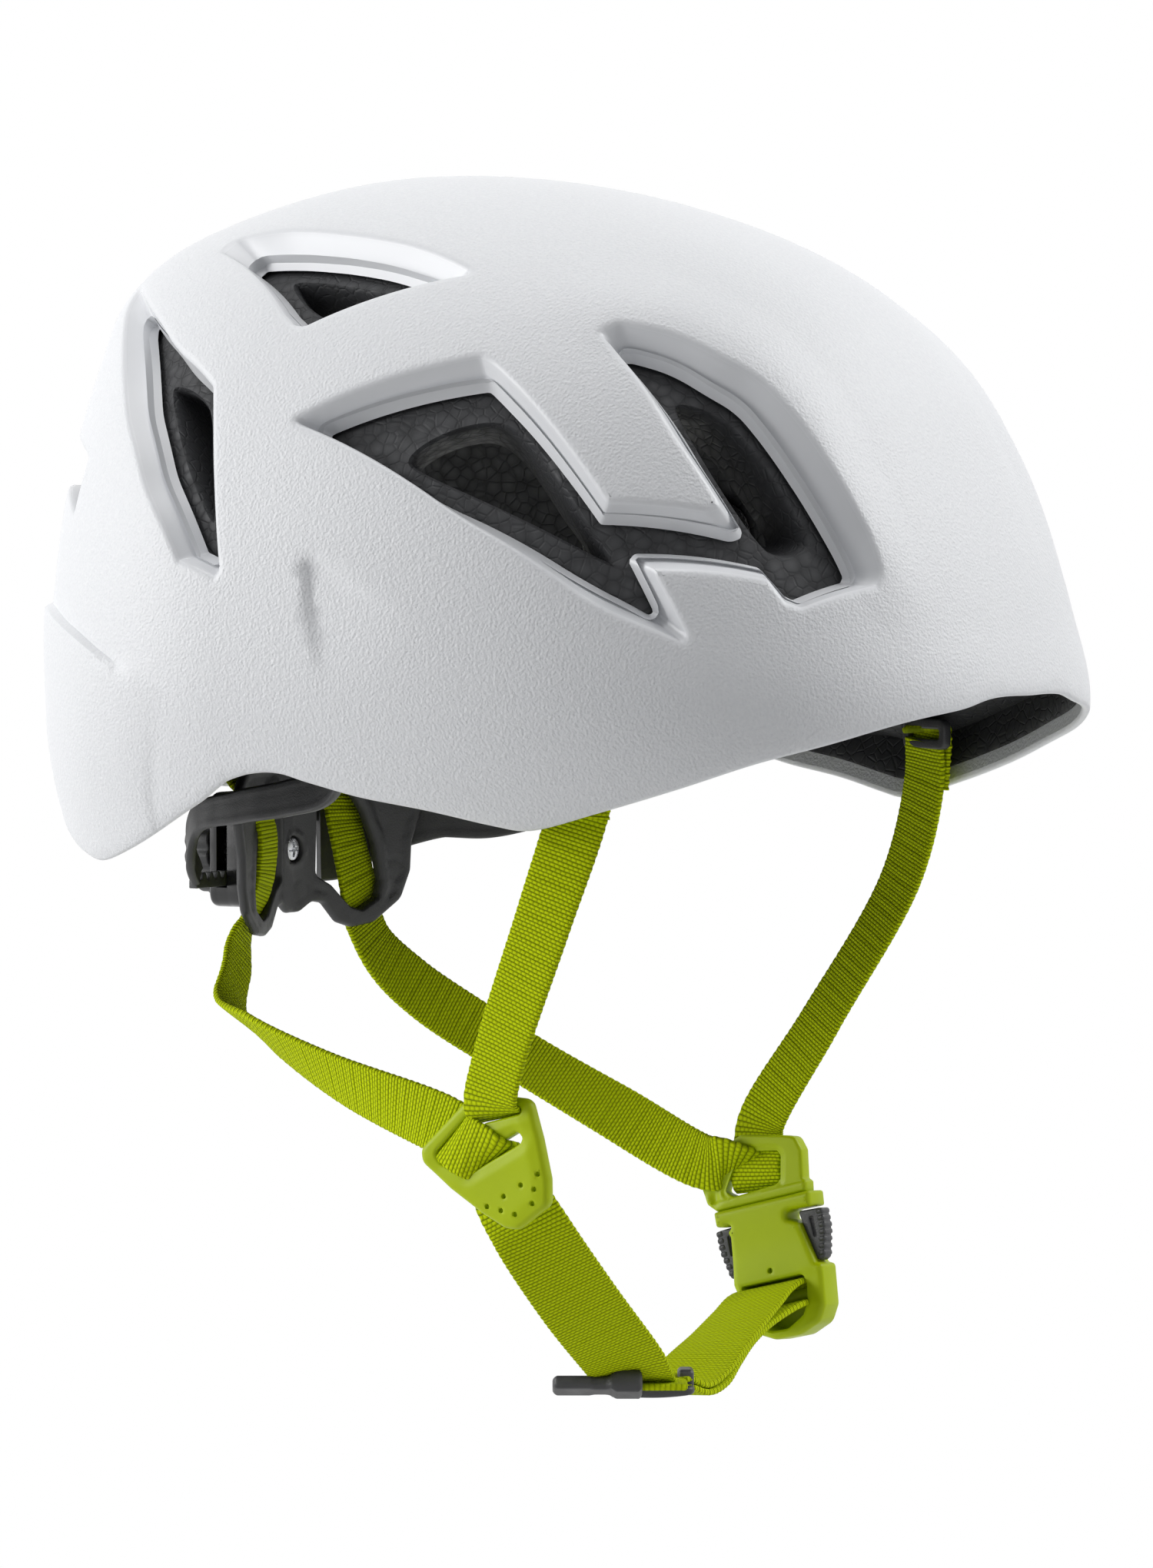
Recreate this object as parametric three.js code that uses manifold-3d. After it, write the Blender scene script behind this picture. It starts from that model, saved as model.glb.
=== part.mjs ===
// Climbing helmet: moulded vented shell over a foam liner, webbing harness with a
// side-release chin buckle, and a nape cradle tightened by a dial with two racks.
// Millimetres. Front is -Y, the wearer's right is -X, up is +Z.
import * as THREE from 'three';
import Module from 'manifold-3d';

const wasm = await Module();
wasm.setup();

// Shell form: the brim datum is the level plane that the rises are measured from
const crownRise = 110;
const browReach = 157;
const napeReach = 128;
const halfWidth = 111;
const browRoundness = 2.42;
const napeRoundness = 2.2;
const formRises = [-32, -12, 0, 18, 34, 46, 56, 70, 90];
const browReachShares = [1.13, 1.08, 1.02, 0.98, 1, 1.025, 1.03, 1.015, 1.015];
const napeReachShares = [0.9, 0.765, 0.75, 0.765, 0.84, 0.96, 1.02, 0.97, 0.97];
const widthShares = [1.04, 1.015, 0.995, 0.985, 0.985, 0.995, 1.005, 1.015, 1.015];
const inwardAimShare = 0.15;
// Rows of bearing, as a share of the half turn from brow to nape, and rise, as a share
// of the quarter turn from the brim datum to the crown
const rimShares = [
  [0, -0.108], [0.055, -0.111], [0.085, -0.124], [0.135, -0.141], [0.186, -0.171],
  [0.229, -0.2], [0.267, -0.237], [0.304, -0.273], [0.338, -0.303], [0.357, -0.296],
  [0.389, -0.275], [0.425, -0.256], [0.453, -0.235], [0.469, -0.222], [0.486, -0.224],
  [0.533, -0.273], [0.589, -0.325], [0.64, -0.362], [0.69, -0.384], [0.73, -0.372],
  [0.77, -0.34], [0.82, -0.31], [0.9, -0.295], [1, -0.29],
];

// Shell and liner walls
const skinWall = 2.2;
const flangeDepth = 7;
const flangeWall = 1.8;
const shellToLinerGap = 0.9;
const pocketGap = 3;
const linerClearance = 0.35;
const linerWall = 22;
const linerRimLiftShares = [
  [0, 0.03], [0.2, 0.05], [0.24, 0.085], [0.36, 0.085], [0.42, 0.045], [0.6, 0.04], [1, 0.05],
];
const cutOverrun = 2;
const throatOverrun = 0.2;
const sectorAngle = 9;
const sharedRingCount = 9;
const outlineStep = 11;
const outlineBowShare = 0.02;

// Vents: rows of mouth bearing and rise, then throat bearing and rise
const sideVentShares = [
  [0.467, 0.282, 0.451, 0.275], [0.354, 0.385, 0.352, 0.35], [0.347, 0.376, 0.34, 0.316],
  [0.287, 0.16, 0.293, 0.141], [0.233, 0.148, 0.22, 0.117], [0.226, 0.154, 0.213, 0.123],
  [0.226, 0.166, 0.211, 0.133], [0.245, 0.265, 0.228, 0.23], [0.278, 0.426, 0.264, 0.402],
  [0.264, 0.44, 0.258, 0.402], [0.23, 0.417, 0.234, 0.383], [0.205, 0.38, 0.213, 0.345],
  [0.182, 0.345, 0.195, 0.316], [0.161, 0.272, 0.179, 0.253], [0.147, 0.201, 0.165, 0.185],
  [0.133, 0.107, 0.15, 0.09], [0.131, 0.061, 0.148, 0.068], [0.137, 0.044, 0.151, 0.06],
  [0.191, 0.015, 0.189, 0.035], [0.2, 0.023, 0.195, 0.042], [0.207, 0.054, 0.206, 0.081],
  [0.268, 0.069, 0.277, 0.099], [0.268, 0.06, 0.281, 0.088], [0.257, -0.022, 0.272, 0.015],
  [0.26, -0.031, 0.275, 0.011], [0.299, 0.014, 0.305, 0.055], [0.365, 0.141, 0.379, 0.168],
];
const topVentShares = [
  [0.645, 0.609, 0.59, 0.596], [0.647, 0.642, 0.59, 0.612], [0.591, 0.663, 0.548, 0.613],
  [0.475, 0.645, 0.477, 0.6], [0.4, 0.605, 0.429, 0.577], [0.358, 0.547, 0.386, 0.536],
  [0.478, 0.443, 0.472, 0.459], [0.487, 0.446, 0.48, 0.461],
];
const rearSideVentShares = [
  [0.77, 0.53, 0.705, 0.476], [0.687, 0.486, 0.665, 0.445], [0.61, 0.405, 0.599, 0.381],
  [0.544, 0.339, 0.546, 0.328], [0.499, 0.065, 0.507, 0.092], [0.502, 0.053, 0.51, 0.082],
  [0.541, 0.076, 0.528, 0.094], [0.59, 0.18, 0.578, 0.205], [0.642, 0.29, 0.626, 0.311],
  [0.69, 0.383, 0.665, 0.4], [0.751, 0.489, 0.694, 0.452],
];
const napeVentShares = [
  [0.7, 0.225, 0.712, 0.212], [0.87, 0.235, 0.862, 0.222], [0.88, 0.165, 0.87, 0.174],
  [0.71, 0.14, 0.722, 0.158],
];
// Windows right through the foam behind the vents
const sideWindowShares = [
  [0.4, 0.235], [0.345, 0.3], [0.3, 0.15], [0.288, 0.08],
];
const frontWindowShares = [
  [0.235, 0.33], [0.205, 0.31], [0.175, 0.2], [0.165, 0.11], [0.195, 0.1],
];
const topWindowShares = [
  [0.54, 0.585], [0.45, 0.565], [0.42, 0.54], [0.47, 0.49],
];
const rearWindowShares = [
  [0.63, 0.36], [0.57, 0.33], [0.545, 0.24], [0.53, 0.14], [0.575, 0.23],
];

// Pads: from bearing, to bearing, from rise, to rise, all as shares like the vents
const padGap = 1.5;
const padThickness = 6;
const padEdgeShare = 0.35;
const padCrownPower = 4;
const browPadShares = [-0.29, 0.29, -0.055, 0.1];
const sidePadShares = [0.4, 0.56, 0.02, 0.19];
const crownPadReach = 38;
const crownPadRingCount = 5;
const crownPadSectorCount = 24;
const padColumnCount = 16;
const padRowCount = 5;

// Webbing
const sideWebbingWidth = 15;
const chinWebbingWidth = 20;
const webbingThickness = 1.6;
const webbingStepCount = 30;
// The straps' tops lie along the foam: bearing and rise as shares, and a depth under the
// skin or a standoff from the foam. Everything lower hangs at shares of the half width,
// of the reach before or behind the middle, and of the crown's rise, or beside the
// hardware that it meets
const frontTopShares = [0.3115, -0.2372];
const frontTopDepth = 12.5;
const frontRimShares = [0.3163, -0.2934];
const frontRimDepth = 6.6;
const rearTopShares = [0.8913, -0.19];
const rearTopStandoff = 3.2;
const rearLipShares = [0.888, -0.2592];
const rearLipStandoff = 3.9;
const frontStrapShares = {
  cheek: [0.787, -0.51, -0.655],
  rightLow: [0.782, -0.424, -0.973],
  leftLow: [0.744, -0.369, -1.018],
};
const rearStrapShares = {
  rightTurn: [0.396, 0.305, -0.882],
  rightTwist: [0.523, 0.178, -0.962],
  rightSide: [0.631, -0.057, -1.053],
  leftTurn: [0.396, 0.388, -0.882],
  leftTwist: [0.559, 0.258, -1.055],
  leftSide: [0.653, 0, -1.231],
};
// Beside the cradle: shares of its half span, of its bow and of its height
const rearStrapCradleShares = {
  belt: [0.585, 0.433, 0.25],
  window: [0.551, 0.1, 0.614],
  bar: [0.61, 0.083, 0.886],
  below: [0.756, 0, 1.068],
};
const chinNearShares = {
  cheek: [-0.667, -0.433, -1.364],
};
const chinFarShares = {
  low: [0.072, -0.457, -1.8],
  jaw: [0.27, -0.42, -1.759],
  high: [0.495, -0.338, -1.711],
};
const chinFoldGap = 0.5;

// Width directions, station by station
const frontRightWidthShares = [
  [0.42, 1, 0], [0.38, 1, 0], [0.1, 1, 0], [-0.05, 1, 0], [-0.09, 1, 0],
];
const frontLeftWidthShares = [
  [0.42, 1, 0], [0.38, 1, 0], [0.36, 1, 0], [0.36, 1, 0], [0.3, 1, 0],
];
const rearWidthShares = [
  [1, -0.27, 0], [1, -0.25, 0], [1, 0, 0], [1, 0, 0], [1, 0, 0], [1, 0, 0], [0.95, -0.2, 0.1],
  [0.8, -0.45, 0.3], [0.46, -0.08, 0.88], [0, -0.7, 0.7],
];
const chinNearWidthShares = [
  [0.1, -0.82, 0.56], [0.2, -0.82, 0.54], [0.4, -0.82, 0.42], [0.5, -0.84, 0.2], [0.53, -0.85, 0],
  [0.53, -0.85, 0],
];
const chinFarWidthShares = [
  [0.53, -0.85, 0], [0.53, -0.85, 0], [0.45, -0.89, 0.05], [0.3, -0.93, 0.15], [0.1, -0.97, 0.2],
  [0, -0.98, 0.2],
];

// Strap anchors
const anchorWidth = 18;
const anchorHeight = 9;
const anchorThickness = 2.4;
const anchorLeg = 1;
const anchorStepCount = 3;

// Strap divider on the right cheek
const dividerWidth = 36;
const dividerHeight = 31;
const dividerThickness = 4;
const dividerRound = 1.1;
const dividerSeatShares = [-0.742, -0.484, -1.0655];
const dividerOutlineShares = [
  [0.66, 0], [0.86, 0.22], [0.99, 0.42], [0.97, 0.55], [0.8, 0.72], [0.45, 0.9], [0.27, 0.99],
  [0.17, 0.97], [0.01, 0.74], [0, 0.62], [0.04, 0.34], [0.1, 0.02], [0.14, 0],
];
const dividerWindowShares = [
  [0.18, 0.17], [0.63, 0.17], [0.87, 0.46], [0.63, 0.6], [0.15, 0.34],
];
const dividerDimpleRadius = 0.65;
const dividerDimpleDepth = 0.7;
const dividerDimpleShares = [
  [0.51, 0.83], [0.39, 0.86], [0.22, 0.88], [0.35, 0.73], [0.21, 0.66], [0.12, 0.8],
  [0.1, 0.68], [0.08, 0.57],
];
// Strap ends beside the plate: shares of its width rearward, of its height down and of its
// thickness outward
const dividerMeetShares = {
  front: [0.383, 0.2, 0.9],
  rear: [0.861, 0.239, -1],
  chin: [0.361, 0.703, -1.075],
};

// Side-release buckle on the left: local Z runs up its axis from the seam
const buckleSeatShares = [0.685, -0.28, -1.436];
const buckleLeanAngle = 12;
const buckleToeAngle = 4.5;
const buckleSeamGap = 0.4;
const frameThickness = 4.4;
const frameTopFrontY = -9.5;
const frameTopRearY = 7.5;
const frameHeight = 19;
const frameFootHalf = 15;
const frameWingY = 18;
const frameWingZ = 9;
const frameRound = 0.9;
const frameWindowFront = -5.8;
const frameWindowRear = 7;
const frameWindowTop = 15;
const frameWindowFrontFoot = 6;
const frameWindowRearFoot = 3;
const tongueLength = 15;
const tongueThickness = 3;
const tongueNotchHeight = 3.6;
const tongueNotchZ = -9.4;
const tongueTipHalf = 4;
const housingHalf = 15;
const housingHeight = 38;
const housingThickness = 9;
const housingRound = 1.2;
const housingWall = 1.8;
const housingCornerShare = 0.333;
const housingFaceDrop = 24;
const housingBarRadius = 1.9;
const housingBarZ = -27;
const housingSideCut = 16;
const housingSideTop = -3;
const housingPivotRadius = 0.7;
const housingPivotZ = -19;
const buckleClearance = 0.35;
const buttonLength = 15.2;
const buttonWidth = 5.6;
const buttonProud = 3.2;
const buttonReach = 6.8;
const buttonHookDepth = 1.4;
const buttonHookHeight = 2.6;
const buttonThickness = 3.2;
const buttonRibPitch = 2.1;
const buttonRibDepth = 0.5;
const buttonRibCount = 6;
const buttonTravel = 2.2;
const springWall = 0.6;
const springWidth = 3;
const springBow = 2.2;
// Strap ends beside the buckle, from its seam: shares of the housing's thickness outward, of
// the frame's half foot rearward and of the frame's height up
const buckleMeetShares = {
  front: [0.667, -0.24, 0.81],
  rear: [-0.378, 0.767, 0.632],
  chin: [-0.933, -0.38, -1.416],
};

// Chin slider and the moulded end tab
const sliderSeatShares = [-0.1126, -0.438, -1.8036];
const sliderTurnAngle = -58;
const sliderLength = 27.4;
const sliderDepth = 15;
const sliderThickness = 3.4;
const sliderSlotDepth = 3.6;
const sliderBarWidth = 2.6;
const sliderPostHeight = 6.4;
const tabLeanAngle = -25;
const tabLength = 15;
const tabWidth = 8.5;
const tabThickness = 2.8;
const tabWaistShare = 0.62;
// Places from the slider's centre: shares of its length, of its depth and of its post height
const sliderMeetShares = {
  nearJaw: [-1.59, -0.115, 4.6],
  nearLow: [-0.711, -0.147, 1.78],
  nearIn: [-0.248, -0.08, 0.781],
  nearTurn: [-0.069, -0.08, 0.609],
  farTurn: [0.0985, 0.107, 0.575],
  farOut: [0.361, 0.053, 0.531],
  tab: [-0.996, 0.427, 1.109],
};

// Nape cradle
const cradleReachShare = 0.4094;
const cradleBow = 12;
const cradleBowPower = 1.2;
const cradleWall = 3;
const cradleHalfSpan = 41;
const cradleTopShare = -0.391;
const cradleHeight = 44;
const cradleOutlineShares = [
  [0.66, 0], [0.93, 0.2], [1, 0.48], [0.98, 0.7], [0.86, 0.9], [0.7, 1], [0.6, 0.98],
  [0.44, 0.87], [0.24, 0.76], [0.14, 0.81], [0, 0.82],
];
const cradleWindowShares = [
  [0.25, 0.24], [0.6, 0.24], [0.76, 0.36], [0.81, 0.56], [0.79, 0.74], [0.68, 0.84], [0.58, 0.83],
  [0.42, 0.7], [0.25, 0.6],
];
const cradleColumnCount = 24;

// Dial, pinion and racks behind the cradle
const dialDropShare = 0.477;
const rackPitchRadius = 6;
const pinionToothCount = 12;
const toothHeightShare = 2.1;
const toothTipShare = 0.12;
const toothRootShare = 0.3;
const pinionLength = 2.6;
const pinionModule = 2 * rackPitchRadius / pinionToothCount;
const rackGap = 0.35;
const rackBack = 2;
const rackThickness = 2.6;
const rackInner = 9;
const rackOuter = 34;
const bandGap = 1.6;
const rackSetback = 10.2;
const housingDepth = 14.6;
const housingHalfWidth = 13.6;
const housingHalfHeight = 15;
const housingCorner = 3.5;
const housingBossRadius = 8;
const adjusterGap = 0.4;
const knobRadius = 13;
const knobLength = 8.4;
const knobLobeCount = 14;
const knobLobeDepth = 0.9;
const knobBevelShare = 0.86;
const hubRadius = 3.1;
const boreGap = 0.35;
const screwRadius = 1.3;
const screwHeadRadius = 3.2;
const screwHeadHeight = 1.6;
const screwHeadRecess = 1.2;
const screwSlotWidth = 0.7;
const screwSlotDepth = 0.8;
const pawlRadius = 8.2;
const pawlWall = 0.9;
const pawlThickness = 1.6;
const pawlToothCount = 24;
const pawlToothDepth = 0.6;

// Headband arms and their temple studs
const armHeight = 11;
const armWall = 1.8;
const armStepCount = 30;
const armBendShares = [1.122, 0.633, 0.25];
const armBackShares = [0.685, -0.412];
const armBackStandoff = 2.2;
const armSideShares = [0.557, -0.38];
const armSideStandoff = 0.9;
const armTempleShares = [0, -0.057, -0.309];
const armWidthShares = [[0, 0, 1], [0, 0, 1], [0, 0, 1], [0, 0.1, 1], [0, 0.3, 1], [0, 0.5, 1]];
const studShares = [0.445, -0.165];
const studHeadRadius = 5;
const studHeadThickness = 1.6;
const studShankRadius = 2.2;
const studShankLength = 6;
const studFit = 0.3;
const studStandoff = 2.4;
const armEyeRadius = 6.5;

// Facets
const roundSegmentCount = 24;
const smallSegmentCount = 14;
const pinSegmentCount = 8;
const bevelStepCount = 2;
const springStepCount = 8;
const lobeStepCount = 4;

// Crown seat: the wearer's crown carries the helmet here, and it is the part's origin
const linerInner = skinWall + shellToLinerGap + linerWall;
const crownSeatZ = crownRise - linerInner - padGap - padThickness;

// Places that follow from the sizes above
const cradleY = napeReach * cradleReachShare;
const cradleTopZ = crownRise * cradleTopShare;
const dialZ = cradleTopZ - cradleHeight * dialDropShare;
const housingFront = cradleY + cradleWall + adjusterGap;
const housingBack = housingFront + housingDepth;
const rackY = housingFront + rackSetback;
const dividerSeat = hang(dividerSeatShares);
const buckleSeam = hang(buckleSeatShares);
const sliderCentre = hang(sliderSeatShares);
// A pressed button stops short of the tongue, and its guide short of the notch's floor
const tongueHalf = housingHalf - buttonReach - buttonTravel - buckleClearance;
const tongueNotchDepth = buttonHookDepth + buttonTravel + buckleClearance;

// A place hung from the helmet, at shares of the half width, the reach and the rise
function hang([acrossShare, alongShare, riseShare]) {
  const reach = alongShare < 0 ? browReach : napeReach;
  return [acrossShare * halfWidth, alongShare * reach, riseShare * crownRise];
}

// A place beside the strap divider, the buckle, the slider or the cradle
function byDivider([across, down, out]) {
  const [x, y, z] = dividerSeat;
  return [x - out * dividerThickness, y + across * dividerWidth, z - down * dividerHeight];
}

function byBuckle([out, rearward, up]) {
  const [x, y, z] = buckleSeam;
  return [x + out * housingThickness, y + rearward * frameFootHalf, z + up * frameHeight];
}

function bySlider([across, along, up]) {
  const [x, y, z] = sliderCentre;
  return [x + across * sliderLength, y + along * sliderDepth, z + up * sliderPostHeight];
}

function byCradle([across, behind, down]) {
  return [across * cradleHalfSpan, cradleY + behind * cradleBow, cradleTopZ - down * cradleHeight];
}

// A place on the left of the dome, at a depth under its skin
function underSkin([bearingShare, riseShare], depth) {
  const [x, y] = flatPoint(-bearingShare * halfTurnAngle, riseShare * quarterTurnAngle);
  return wrapPoint(x, y, -depth).toArray();
}

const degree = Math.PI / 180;
const weldStep = 0.0005;
const halfTurnAngle = 180;
const quarterTurnAngle = 90;
const mmPerDegree = crownRise * degree;

// Smooth curve through the shares given at the form rises
function shareAt(shares, rise) {
  const last = formRises.length - 1;
  let i = 0;
  while (i < last - 1 && rise >= formRises[i + 1]) i += 1;
  const slope = (k) => (shares[k + 1] - shares[k]) / (formRises[k + 1] - formRises[k]);
  const tangent = (k) => {
    if (k === 0) return slope(0);
    if (k === last) return 0;
    const before = formRises[k] - formRises[k - 1];
    const after = formRises[k + 1] - formRises[k];
    return (slope(k - 1) * after + slope(k) * before) / (before + after);
  };
  const span = formRises[i + 1] - formRises[i];
  const t = (rise - formRises[i]) / span;
  const t2 = t * t;
  const t3 = t2 * t;
  return (2 * t3 - 3 * t2 + 1) * shares[i] + (t3 - 2 * t2 + t) * span * tangent(i)
    + (3 * t2 - 2 * t3) * shares[i + 1] + (t3 - t2) * span * tangent(i + 1);
}

// Point on the outer form at a bearing from the brow and a rise, both in degrees
function formPoint(bearing, rise) {
  const along = -Math.cos(bearing * degree);
  const across = -Math.sin(bearing * degree);
  const roundness = along < 0 ? browRoundness : napeRoundness;
  const plan = (Math.abs(along) ** roundness + Math.abs(across) ** roundness) ** (-1 / roundness);
  const level = Math.cos(rise * degree) * plan;
  const reach = along < 0
    ? browReach * shareAt(browReachShares, rise)
    : napeReach * shareAt(napeReachShares, rise);
  return new THREE.Vector3(
    halfWidth * shareAt(widthShares, rise) * level * across,
    reach * level * along,
    crownRise * Math.sin(rise * degree),
  );
}

// The form is drawn flat, like a plan view whose radius is the arc down from the crown
function flatPoint(bearing, rise) {
  const radius = (quarterTurnAngle - rise) * mmPerDegree;
  return [-radius * Math.sin(bearing * degree), -radius * Math.cos(bearing * degree)];
}

function flatToForm(x, y) {
  const radius = Math.hypot(x, y);
  return formPoint(Math.atan2(-x, -y) / degree, quarterTurnAngle - radius / mmPerDegree);
}

// Lays a flat point at a depth on the dome: along the normal through the skin and
// flanges, then straight towards the aiming point inside the head
const normalProbe = mmPerDegree / 2;
const inwardAim = new THREE.Vector3(0, 0, crownRise * inwardAimShare);
function wrapPoint(x, y, depth) {
  const point = flatToForm(x, y);
  const alongX = flatToForm(x + normalProbe, y).sub(flatToForm(x - normalProbe, y));
  const alongY = flatToForm(x, y + normalProbe).sub(flatToForm(x, y - normalProbe));
  const normal = alongX.cross(alongY).normalize();
  const shallow = Math.max(depth, -flangeDepth);
  point.addScaledVector(normal, shallow);
  if (depth < shallow) {
    const inward = inwardAim.clone().sub(point).normalize();
    point.addScaledVector(inward, shallow - depth);
  }
  return point;
}

// Solids and meshes
function solidOf(positions, triangles) {
  const mesh = new wasm.Mesh({
    numProp: 3,
    vertProperties: Float32Array.from(positions),
    triVerts: Uint32Array.from(triangles),
  });
  return new wasm.Manifold(mesh);
}

function solidFromGeometry(geometry) {
  const source = geometry.attributes.position;
  const index = geometry.index;
  const count = index ? index.count : source.count;
  const keys = new Map();
  const positions = [];
  const triangles = [];
  for (let i = 0; i < count; i += 3) {
    const corners = [];
    for (let j = 0; j < 3; j += 1) {
      const v = index ? index.getX(i + j) : i + j;
      const p = [source.getX(v), source.getY(v), source.getZ(v)];
      const key = p.map((value) => Math.round(value / weldStep)).join();
      if (!keys.has(key)) {
        keys.set(key, positions.length / 3);
        positions.push(...p);
      }
      corners.push(keys.get(key));
    }
    if (new Set(corners).size === 3) triangles.push(...corners);
  }
  return solidOf(positions, triangles);
}

function geometryOf(solid) {
  const mesh = solid.getMesh();
  const geometry = new THREE.BufferGeometry();
  const positions = new Float32Array(mesh.numVert * 3);
  for (let v = 0; v < mesh.numVert; v += 1) {
    for (let k = 0; k < 3; k += 1) positions[v * 3 + k] = mesh.vertProperties[v * mesh.numProp + k];
  }
  geometry.setAttribute('position', new THREE.BufferAttribute(positions, 3));
  geometry.setIndex(Array.from(mesh.triVerts));
  return geometry;
}

// Outlines in the flat drawing
function flatOutline(rows, bearingColumn, side) {
  return rows.map((row) => {
    const bearing = row[bearingColumn] * halfTurnAngle * side;
    const [x, y] = flatPoint(bearing, row[bearingColumn + 1] * quarterTurnAngle);
    return new THREE.Vector2(x, y);
  });
}

function outlineArea(points) {
  return THREE.ShapeUtils.area(points);
}

// Moves each corner of an outline outward along its mitre
const mitreLimit = 2.2;
function growOutline(points, amount) {
  const turn = Math.sign(outlineArea(points));
  return points.map((point, i) => {
    const before = points[(i + points.length - 1) % points.length];
    const after = points[(i + 1) % points.length];
    const a = point.clone().sub(before).normalize();
    const b = after.clone().sub(point).normalize();
    const normalA = new THREE.Vector2(a.y, -a.x).multiplyScalar(turn);
    const normalB = new THREE.Vector2(b.y, -b.x).multiplyScalar(turn);
    const mitre = normalA.clone().add(normalB).normalize();
    const stretch = Math.min(1 / Math.max(mitre.dot(normalA), 1 / mitreLimit), mitreLimit);
    return point.clone().addScaledVector(mitre, amount * stretch);
  });
}

// A point part way along a side, bowed out by a hair so that a cap keeps it as a corner
function pointAlong(from, to, share, turn) {
  const along = to.clone().sub(from).normalize();
  const bow = outlineBowShare * Math.sin(Math.PI * share) * turn;
  return from.clone().lerp(to, share).add(new THREE.Vector2(along.y, -along.x).multiplyScalar(bow));
}

// Adds points along the long sides of two matched outlines
function refinePair(upper, lower) {
  const turn = Math.sign(outlineArea(upper));
  const upperOut = [];
  const lowerOut = [];
  upper.forEach((point, i) => {
    const next = (i + 1) % upper.length;
    const parts = Math.max(1, Math.ceil(point.distanceTo(upper[next]) / outlineStep));
    for (let k = 0; k < parts; k += 1) {
      upperOut.push(pointAlong(point, upper[next], k / parts, turn));
      lowerOut.push(pointAlong(lower[i], lower[next], k / parts, turn));
    }
  });
  return [upperOut, lowerOut];
}

// Flat solid between an upper outline and a matched lower outline
function flatLoft(upper, lower, upperDepth, lowerDepth) {
  let [top, bottom] = refinePair(upper, lower);
  if (outlineArea(top) < 0) {
    top = top.reverse();
    bottom = bottom.reverse();
  }
  const count = top.length;
  const positions = [];
  top.forEach((p) => positions.push(p.x, p.y, upperDepth));
  bottom.forEach((p) => positions.push(p.x, p.y, lowerDepth));
  const triangles = [];
  THREE.ShapeUtils.triangulateShape(top, []).forEach(([a, b, c]) => triangles.push(a, b, c));
  THREE.ShapeUtils.triangulateShape(bottom, [])
    .forEach(([a, b, c]) => triangles.push(count + a, count + c, count + b));
  for (let i = 0; i < count; i += 1) {
    const j = (i + 1) % count;
    triangles.push(i, count + i, j, j, count + i, count + j);
  }
  return solidOf(positions, triangles);
}

// Mouth and throat outlines carried on to another pair of depths
function taperedSides(mouth, throat, depth) {
  return mouth.map((point, i) => point.clone().lerp(throat[i], -depth / flangeDepth));
}

// Sectors of the flat disc: every bearing of the rim table, with even steps between
function sectorBearings() {
  const half = [];
  rimShares.slice(0, -1).forEach(([share, rise], i) => {
    const [nextShare, nextRise] = rimShares[i + 1];
    const span = (nextShare - share) * halfTurnAngle;
    const parts = Math.max(1, Math.round(span / sectorAngle));
    for (let k = 0; k < parts; k += 1) {
      const t = k / parts;
      const bearing = (share + (nextShare - share) * t) * halfTurnAngle;
      half.push([bearing, (rise + (nextRise - rise) * t) * quarterTurnAngle]);
    }
  });
  const lastRise = rimShares[rimShares.length - 1][1] * quarterTurnAngle;
  const mirrored = half.slice(1).reverse().map(([bearing, rise]) => [-bearing, rise]);
  return [...half, [halfTurnAngle, lastRise], ...mirrored];
}

// How far the foam stops short of the shell's rim
function rimLift(bearing) {
  const share = Math.abs(bearing) / halfTurnAngle;
  const rows = linerRimLiftShares;
  let i = 0;
  while (i < rows.length - 2 && share > rows[i + 1][0]) i += 1;
  const t = (share - rows[i][0]) / (rows[i + 1][0] - rows[i][0]);
  return (rows[i][1] + (rows[i + 1][1] - rows[i][1]) * t) * quarterTurnAngle;
}

// Flat disc between two depths, from the crown to the foam's rim or on to the shell's rim
function flatDisc(topDepth, bottomDepth, toShellRim) {
  const sectors = sectorBearings();
  const ringCount = sharedRingCount + (toShellRim ? 1 : 0);
  const count = sectors.length;
  const positions = [];
  const triangles = [];
  [topDepth, bottomDepth].forEach((depth) => {
    positions.push(0, 0, depth);
    for (let ring = 1; ring <= ringCount; ring += 1) {
      sectors.forEach(([bearing, rimRise]) => {
        const foamRim = rimRise + rimLift(bearing);
        const ringRise = ring > sharedRingCount
          ? rimRise
          : quarterTurnAngle - (quarterTurnAngle - foamRim) * (ring / sharedRingCount);
        const [x, y] = flatPoint(bearing, ringRise);
        positions.push(x, y, depth);
      });
    }
  });
  const lower = 1 + ringCount * count;
  const at = (ring, sector) => 1 + (ring - 1) * count + (sector % count);
  for (let s = 0; s < count; s += 1) {
    const fan = [0, at(1, s + 1), at(1, s)];
    triangles.push(...fan, lower + fan[0], lower + fan[2], lower + fan[1]);
    for (let ring = 1; ring < ringCount; ring += 1) {
      const a = at(ring, s);
      const b = at(ring, s + 1);
      const c = at(ring + 1, s + 1);
      const d = at(ring + 1, s);
      triangles.push(a, b, c, a, c, d);
      triangles.push(lower + a, lower + c, lower + b, lower + a, lower + d, lower + c);
    }
    const rimA = at(ringCount, s);
    const rimB = at(ringCount, s + 1);
    triangles.push(rimA, rimB, lower + rimB, rimA, lower + rimB, lower + rimA);
  }
  return solidOf(positions, triangles);
}

function wrapSolid(solid) {
  const geometry = geometryOf(solid);
  const position = geometry.attributes.position;
  for (let v = 0; v < position.count; v += 1) {
    const p = wrapPoint(position.getX(v), position.getY(v), position.getZ(v));
    position.setXYZ(v, p.x, p.y, p.z);
  }
  return geometry;
}

// Shell and liner
const vents = [sideVentShares, topVentShares, rearSideVentShares, napeVentShares];
const windows = [sideWindowShares, frontWindowShares, topWindowShares, rearWindowShares];
const sides = [1, -1];

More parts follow.
